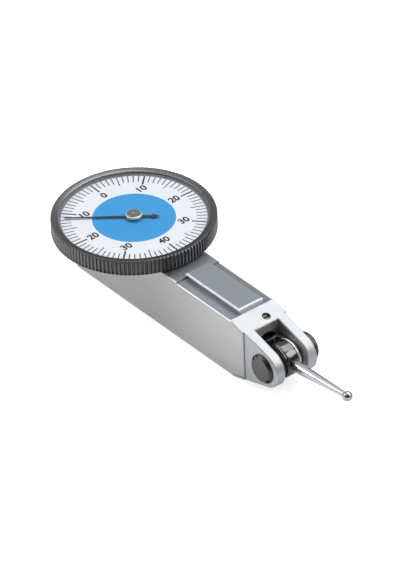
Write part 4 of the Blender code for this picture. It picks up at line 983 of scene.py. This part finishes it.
# %% [markdown]
# ## Stylus and ball
# The stylus is a thin chromed rod that tapers to a hard ball. A ready-made sphere would cut through the rod's end, so
# the ball is turned too, from its far pole back to the flat where the rod meets it.

# %% Stylus and ball
STYLUS_LENGTH = 18.793
BALL_RADIUS, TIP_RADIUS, ROOT_RADIUS = 1.0, 0.55, 1.1
ROOT_START, TAPER_START = 3.95, 5.35
SHANK_END = STYLUS_LENGTH - math.sqrt(BALL_RADIUS**2 - TIP_RADIUS**2) - 0.02
SHANK_PROFILE = [
    (0, SHANK_END),
    (TIP_RADIUS, SHANK_END),
    (ROOT_RADIUS, TAPER_START),
    (ROOT_RADIUS, ROOT_START),
    (0, ROOT_START),
]
BALL_ROWS = 24


def ball_profile(rows):
    """From the ball's far pole back to the flat where the shank meets it."""
    meets = -math.acos(TIP_RADIUS / BALL_RADIUS)
    turn = [math.pi / 2 + (meets - math.pi / 2) * i / rows for i in range(rows + 1)]
    points = [(BALL_RADIUS * math.cos(a), STYLUS_LENGTH + BALL_RADIUS * math.sin(a)) for a in turn]
    points[0] = (0, STYLUS_LENGTH + BALL_RADIUS)
    return points + [(0, points[-1][1])]


shank = lathe(rounded(SHANK_PROFILE, 0.12), MIDDLE, along)
dress("stylus_rod", to_mesh(shank), mirror_chrome, "stylus", ["stylus_shank"])
ball = lathe(ball_profile(BALL_ROWS), MIDDLE, along)
dress("contact_ball", to_mesh(ball), polished_carbide, "stylus", ["stylus_ball"])

# %% [markdown]
# ## The lever and its yoke
# Behind the hub, a forked lever carries the pivot shaft, and its rod runs back through the bore. Its solid has the
# right shape, so only the edges near the hub are broken: the web's top edges by more, as they face the light.

# %% Lever and its yoke
YOKE_REAR, WEB_LOW, YOKE_EDGE = 39.5, 8.5, 0.3


def on_yoke(a, b):
    return min(a.x, b.x) > YOKE_REAR and (a - b).length > YOKE_EDGE


def on_web(a, b):
    return min(a.x, b.x) > YOKE_REAR and min(a.z, b.z) > WEB_LOW and abs(a.x - b.x) < SAME


shape = merged_copy("lever_arm")
break_edges(shape, 0.3, on_web, steps=5)
break_edges(shape, 0.1, on_yoke)
dress("lever_yoke", to_mesh(shape), smoked_steel, "lever", ["lever_arm"], block=True)

# %% [markdown]
# ## The knurled bezel
# The bezel is a turned ring with straight ribs all round. Modelling 125 ribs by hand is hopeless, and a stack of
# copies would leave faces inside the ring. So the ring is turned with many steps, and a Geometry Nodes tree
# pushes the points between the ribs in to one floor radius. The wave comes from each point's angle. As the floor
# lies inside the rounded rim, the grooves run out at the top, as a knurling wheel leaves them.

# %% Knurl
RIB_EDGE, GROOVE_EDGE = 0.16, 0.34


def knurl_tree():
    sizes = ("Ribs", "Groove Floor", "Band Low")
    group, given, out = shape_group("knurled_band", dict.fromkeys(sizes, "NodeSocketFloat"))
    place = node(group, "GeometryNodeInputPosition").outputs[0]
    x, y, z = node(group, "ShaderNodeSeparateXYZ", {0: place}).outputs
    turns = calc(group, "DIVIDE", calc(group, "ARCTAN2", y, x), 2 * math.pi)
    wave = calc(group, "PINGPONG", calc(group, "MULTIPLY", turns, given["Ribs"]), 0.5)
    groove = spread(group, wave, RIB_EDGE, GROOVE_EDGE)
    flat = node(group, "ShaderNodeCombineXYZ", {"X": x, "Y": y}).outputs[0]
    radius = vector_calc(group, "LENGTH", {0: flat}, "Value")
    outward = vector_calc(group, "NORMALIZE", {0: flat})
    share = calc(group, "MULTIPLY", groove, calc(group, "GREATER_THAN", z, given["Band Low"]))
    to_floor = calc(group, "MINIMUM", calc(group, "SUBTRACT", given["Groove Floor"], radius), 0.0)
    inward = calc(group, "MULTIPLY", share, to_floor)
    push = vector_calc(group, "SCALE", {0: outward, "Scale": inward})
    moved = node(group, "GeometryNodeSetPosition", {"Geometry": given["Geometry"], "Offset": push})
    return made_real(group, moved, given, out)


# %% Bezel ring
KNURL_RIBS, STEPS_A_RIB = 125, 8
KNURL_DEPTH, KNURL_LOW = 0.30, 13.20
BEZEL_RADIUS = 16.0
BEZEL_PROFILE = [
    (14.66, 16.085),
    (15.60, 16.189),
    (15.70, 16.20),
    (15.84, 16.15),
    (15.97, 16.01),
    (BEZEL_RADIUS, 15.94),
    (BEZEL_RADIUS, 15.84),
    (BEZEL_RADIUS, 13.26),
    (BEZEL_RADIUS, 13.17),
    (15.9, 13.06),
    (15.0, 13.05),
    (15.0, 14.55),
    (14.85, 14.55),
    (14.85, 16.02),
    (14.60, 16.02),
    (14.60, 16.05),
]
KNURL_INSIDE, WALL_REACH, LIP_REACH = 15.3, 14.9, 14.70


def in_groove(face):
    inside = KNURL_INSIDE < from_dial_axis(face) < BEZEL_RADIUS - KNURL_DEPTH / 2
    return inside and abs(face.normal.z) < 0.5


def on_inner_wall(face):
    return from_dial_axis(face) < WALL_REACH and facing_sideways(face)


def on_lip(face):
    return from_dial_axis(face) < LIP_REACH and UPRIGHT < face.normal.z < LEVEL


knurl_values = {
    "Ribs": float(KNURL_RIBS),
    "Groove Floor": (BEZEL_RADIUS - KNURL_DEPTH) * MM,
    "Band Low": KNURL_LOW * MM,
    "Material": dark_satin,
}
ring = lathe(BEZEL_PROFILE, KNURL_RIBS * STEPS_A_RIB, closed=True)
knurled = grown(to_mesh(ring), knurl_tree(), knurl_values)
bezel = dress("knurled_bezel", knurled, dark_satin, "bezel", ["bezel_ring"])
# The knurl grooves take the dark steel: painted shade in the recesses.
second_finish(bezel, shaded_steel, in_groove)
# The inner wall under the lip is near white: painted light in its shade.
second_finish(bezel, painted_light_wall, on_inner_wall)
second_finish(bezel, rim_edge, on_lip)

# %% [markdown]
# ## The dial plate
# The dial is a white plate with a blue disc in its middle. The disc could be a second colour on the plate, but then
# its edge would be as rough as the plate's own faces. It is a printed skin of real thickness instead, so it stays
# crisp from any side. A grey rubber ring slopes up from the dial to the crystal.

# %% Dial plate, blue disc and rubber ring
DIAL_TOP, DIAL_UNDER = 15.3, 14.9
DIAL_EDGE, DIAL_HOLE = 14.8, 0.8
PRINT = 0.015
BLUE_RADIUS = 8.05
DIAL_PROFILE = section(DIAL_HOLE, DIAL_EDGE, DIAL_TOP, DIAL_UNDER)
BLUE_PROFILE = section(DIAL_HOLE + PRINT, BLUE_RADIUS, DIAL_TOP + PRINT, DIAL_TOP - PRINT)
RUBBER_PROFILE = [(14.05, 15.32), (DIAL_EDGE, 15.32), (DIAL_EDGE, 15.62), (14.7, 15.62)]
plate = lathe(DIAL_PROFILE, FINE, closed=True)
dress("white_dial", to_mesh(plate), dial_white, "bezel", ["dial_plate"])
blue = lathe(BLUE_PROFILE, FINE, closed=True)
dress("blue_centre", to_mesh(blue), dial_blue, "bezel")
rubber = lathe(RUBBER_PROFILE, FINE, closed=True)
dress("rubber_ring", to_mesh(rubber), grey_rubber, "bezel", ["crystal_gasket"])

# %% [markdown]
# ## Divisions
# Eighty marks stand round the dial: every tenth is long and thick, every fifth is long, and the rest are short. They
# repeat by a rule, so a Geometry Nodes tree places one bar for each and works out its length and width from its number.

# %% Divisions
DIVISIONS = 80
DIAL_TURN = math.radians(-2.0)


def division_tree():
    sizes = ("Turn", "Outer Radius", "Short", "Long", "Thin", "Thick", "Level", "Height")
    group, given, out = shape_group(
        "dial_divisions", {"Count": "NodeSocketInt", **dict.fromkeys(sizes, "NodeSocketFloat")}
    )
    index = node(group, "GeometryNodeInputIndex").outputs[0]
    share = calc(group, "MULTIPLY", calc(group, "DIVIDE", index, given["Count"]), 2 * math.pi)
    turn = calc(group, "ADD", share, given["Turn"])
    tenth = calc(group, "LESS_THAN", calc(group, "MODULO", index, 10.0), 0.5)
    fifth = calc(group, "LESS_THAN", calc(group, "MODULO", index, 5.0), 0.5)
    longer = calc(group, "SUBTRACT", given["Long"], given["Short"])
    length = calc(group, "ADD", given["Short"], calc(group, "MULTIPLY", longer, fifth))
    wider = calc(group, "SUBTRACT", given["Thick"], given["Thin"])
    width = calc(group, "ADD", given["Thin"], calc(group, "MULTIPLY", wider, tenth))
    middle = calc(group, "SUBTRACT", given["Outer Radius"], calc(group, "MULTIPLY", length, 0.5))
    x = calc(group, "MULTIPLY", calc(group, "COSINE", turn), middle)
    y = calc(group, "MULTIPLY", calc(group, "SINE", turn), middle)
    place = node(group, "ShaderNodeCombineXYZ", {"X": x, "Y": y, "Z": given["Level"]}).outputs[0]
    points = node(group, "GeometryNodePoints", {"Count": given["Count"], "Position": place}).outputs[0]
    bar = node(group, "GeometryNodeMeshCube", {"Size": (1, 1, 1)}).outputs["Mesh"]
    angle = node(group, "ShaderNodeCombineXYZ", {"Z": turn}).outputs[0]
    size = node(group, "ShaderNodeCombineXYZ", {"X": length, "Y": width, "Z": given["Height"]}).outputs[0]
    each = {"Points": points, "Instance": bar, "Rotation": angle, "Scale": size}
    return made_real(group, node(group, "GeometryNodeInstanceOnPoints", each), given, out)


division_values = {
    "Count": DIVISIONS,
    "Turn": DIAL_TURN,
    "Outer Radius": 14.0 * MM,
    "Short": 2.0 * MM,
    "Long": 2.85 * MM,
    "Thin": 0.20 * MM,
    "Thick": 0.34 * MM,
    "Level": DIAL_TOP * MM,
    "Height": 2 * PRINT * MM,
    "Material": print_black,
}
marks = grown(bpy.data.meshes.new("division_blank"), division_tree(), division_values)
dress("dial_divisions", marks, print_black, "bezel")

# %% [markdown]
# ## Numbers
# Plain numbers count up both ways from nought to forty. All stand the same way up, with their tops towards the tail
# end. They are text objects, made a little bolder and given the thickness of print, then turned into one mesh, because
# text itself cannot ride on a body.

# %% Numbers
NUMBER_RADIUS, NUMBER_SIZE, NUMBER_BOLD = 9.65, 2.25, 0.07
LABELS = ("0", "10", "20", "30", "40", "30", "20", "10")


def number_shape(text, angle):
    """One upright number, with its centre on the ring of numbers."""
    words = bpy.data.curves.new("number", "FONT")
    words.body = text
    words.size = NUMBER_SIZE * MM
    words.offset = NUMBER_BOLD * MM
    words.align_x, words.align_y = "CENTER", "CENTER"
    words.extrude = PRINT * MM
    words.resolution_u = 4
    mesh = worked(words, lambda holder: None)
    place = Vector((math.cos(angle) * NUMBER_RADIUS, math.sin(angle) * NUMBER_RADIUS, DIAL_TOP)) * MM
    mesh.transform(Matrix.Translation(place) @ Matrix.Rotation(math.pi / 2, 4, "Z"))
    return mesh


numbers = bmesh.new()
for step, text in enumerate(LABELS):
    mesh = number_shape(text, math.pi + DIAL_TURN - step * 2 * math.pi / len(LABELS))
    numbers.from_mesh(mesh)
    bpy.data.meshes.remove(mesh)
bmesh.ops.remove_doubles(numbers, verts=numbers.verts, dist=MERGE)
dress("dial_numbers", to_mesh(numbers), print_black, "bezel")

# %% [markdown]
# ## The pointer
# The pointer is a slim stamped hand with a round eye in its middle and an arrow on its short end. A stamped hand is a
# flat outline of one thickness, so the outline is worked out point by point and raised into a solid, and the hole for
# its staff is cut.

# %% Pointer needle
NEEDLE_HEADING = math.radians(230.7)
NEEDLE_LENGTH, NEEDLE_TAIL = 13.3, 4.9
NEEDLE_ROOT, NEEDLE_TIP = 0.26, 0.14
NEEDLE_LOW, NEEDLE_HIGH = 15.57, 15.67
ARROW_LENGTH, ARROW_HALF = 1.4, 0.75
EYE_RADIUS, STAFF_HOLE = 1.0, 0.35
EYE_STEPS = 16


def needle_outline():
    """A tapered hand along X with a round eye in its middle and an arrow on its short end."""
    start = math.asin(NEEDLE_ROOT / EYE_RADIUS)
    angles = [start + (math.pi - 2 * start) * i / EYE_STEPS for i in range(EYE_STEPS + 1)]
    one_side = [(EYE_RADIUS * math.cos(a), EYE_RADIUS * math.sin(a)) for a in angles]
    other_side = [(-x, -y) for x, y in one_side]
    neck = NEEDLE_TAIL - ARROW_LENGTH
    arrow = [(-neck, NEEDLE_ROOT), (-neck, ARROW_HALF), (-NEEDLE_TAIL, 0), (-neck, -ARROW_HALF), (-neck, -NEEDLE_ROOT)]
    return [(NEEDLE_LENGTH, -NEEDLE_TIP), (NEEDLE_LENGTH, NEEDLE_TIP)] + one_side + arrow + other_side


def prism(outline, low, high):
    """A flat outline in mm as a solid between two heights."""
    shape = bmesh.new()
    under, over = [[shape.verts.new((x * MM, y * MM, z * MM)) for x, y in outline] for z in (low, high)]
    shape.faces.new(under)
    shape.faces.new(over)
    for i in range(len(outline)):
        shape.faces.new((under[i - 1], under[i], over[i], over[i - 1]))
    bmesh.ops.recalc_face_normals(shape, faces=shape.faces)
    return shape


hand = prism(needle_outline(), NEEDLE_LOW, NEEDLE_HIGH)
hand.transform(Matrix.Rotation(NEEDLE_HEADING, 4, "Z"))
hole = lathe(section(0, STAFF_HOLE, NEEDLE_HIGH + 1, NEEDLE_LOW - 1), SMALL)
dress("pointer_needle", carved(hand, [hole]), pointer_paint, "pointer", ["pointer_hand"])

# %% [markdown]
# ## Boss and crystal
# The hand hangs on a small nickel boss with a dimple where its staff was riveted, and the turned edge of the boss is
# painted pale as a highlight. The crystal is a low dome, part of a big sphere, that clips under the bezel's rim. Both
# are turned, and the dome's profile is worked out from its rise and its edge.

# %% Boss
BOSS_PROFILE = [
    (0, 16.20),
    (0.28, 16.30),
    (1.37, 16.32),
    (1.57, 16.19),
    (1.57, 15.80),
    (1.15, 15.72),
    (STAFF_HOLE, 15.72),
    (STAFF_HOLE, 15.985),
    (0, 15.985),
]
BRIGHT_FROM = 1.3


def on_boss_edge(face):
    return from_dial_axis(face) > BRIGHT_FROM and -0.3 < face.normal.z < LEVEL


boss = lathe(rounded(BOSS_PROFILE, 0.08), MIDDLE)
boss_cap = dress("pointer_cap", to_mesh(boss), warm_nickel, "pointer", ["pointer_boss"])
# The boss's turned edge takes the pale nickel: a painted highlight.
second_finish(boss_cap, painted_light_nickel, on_boss_edge)

# %% Crystal
CRYSTAL_EDGE, CRYSTAL_SEAT = 14.55, 14.8
CRYSTAL_RISE, CRYSTAL_THICK, CRYSTAL_LEVEL = 0.75, 0.32, 15.97
DOME_ROWS = 12


def crystal_profile(rows):
    """Over the dome from its top to the rim, round the clipped edge and back underneath."""
    sphere = (CRYSTAL_EDGE**2 + CRYSTAL_RISE**2) / (2 * CRYSTAL_RISE)
    sweep = math.asin(CRYSTAL_EDGE / sphere)
    centre = CRYSTAL_LEVEL + CRYSTAL_RISE - sphere
    turns = [sweep * i / rows for i in range(rows + 1)]
    upper = [(sphere * math.sin(turn), centre + sphere * math.cos(turn)) for turn in turns]
    lower = [(radius, height - CRYSTAL_THICK) for radius, height in reversed(upper)]
    return upper + [(CRYSTAL_SEAT, CRYSTAL_LEVEL), (CRYSTAL_SEAT, CRYSTAL_LEVEL - CRYSTAL_THICK)] + lower


dome = lathe(crystal_profile(DOME_ROWS), FINE)
dress("clear_crystal", to_mesh(dome), clear_acrylic, "bezel", ["crystal"])
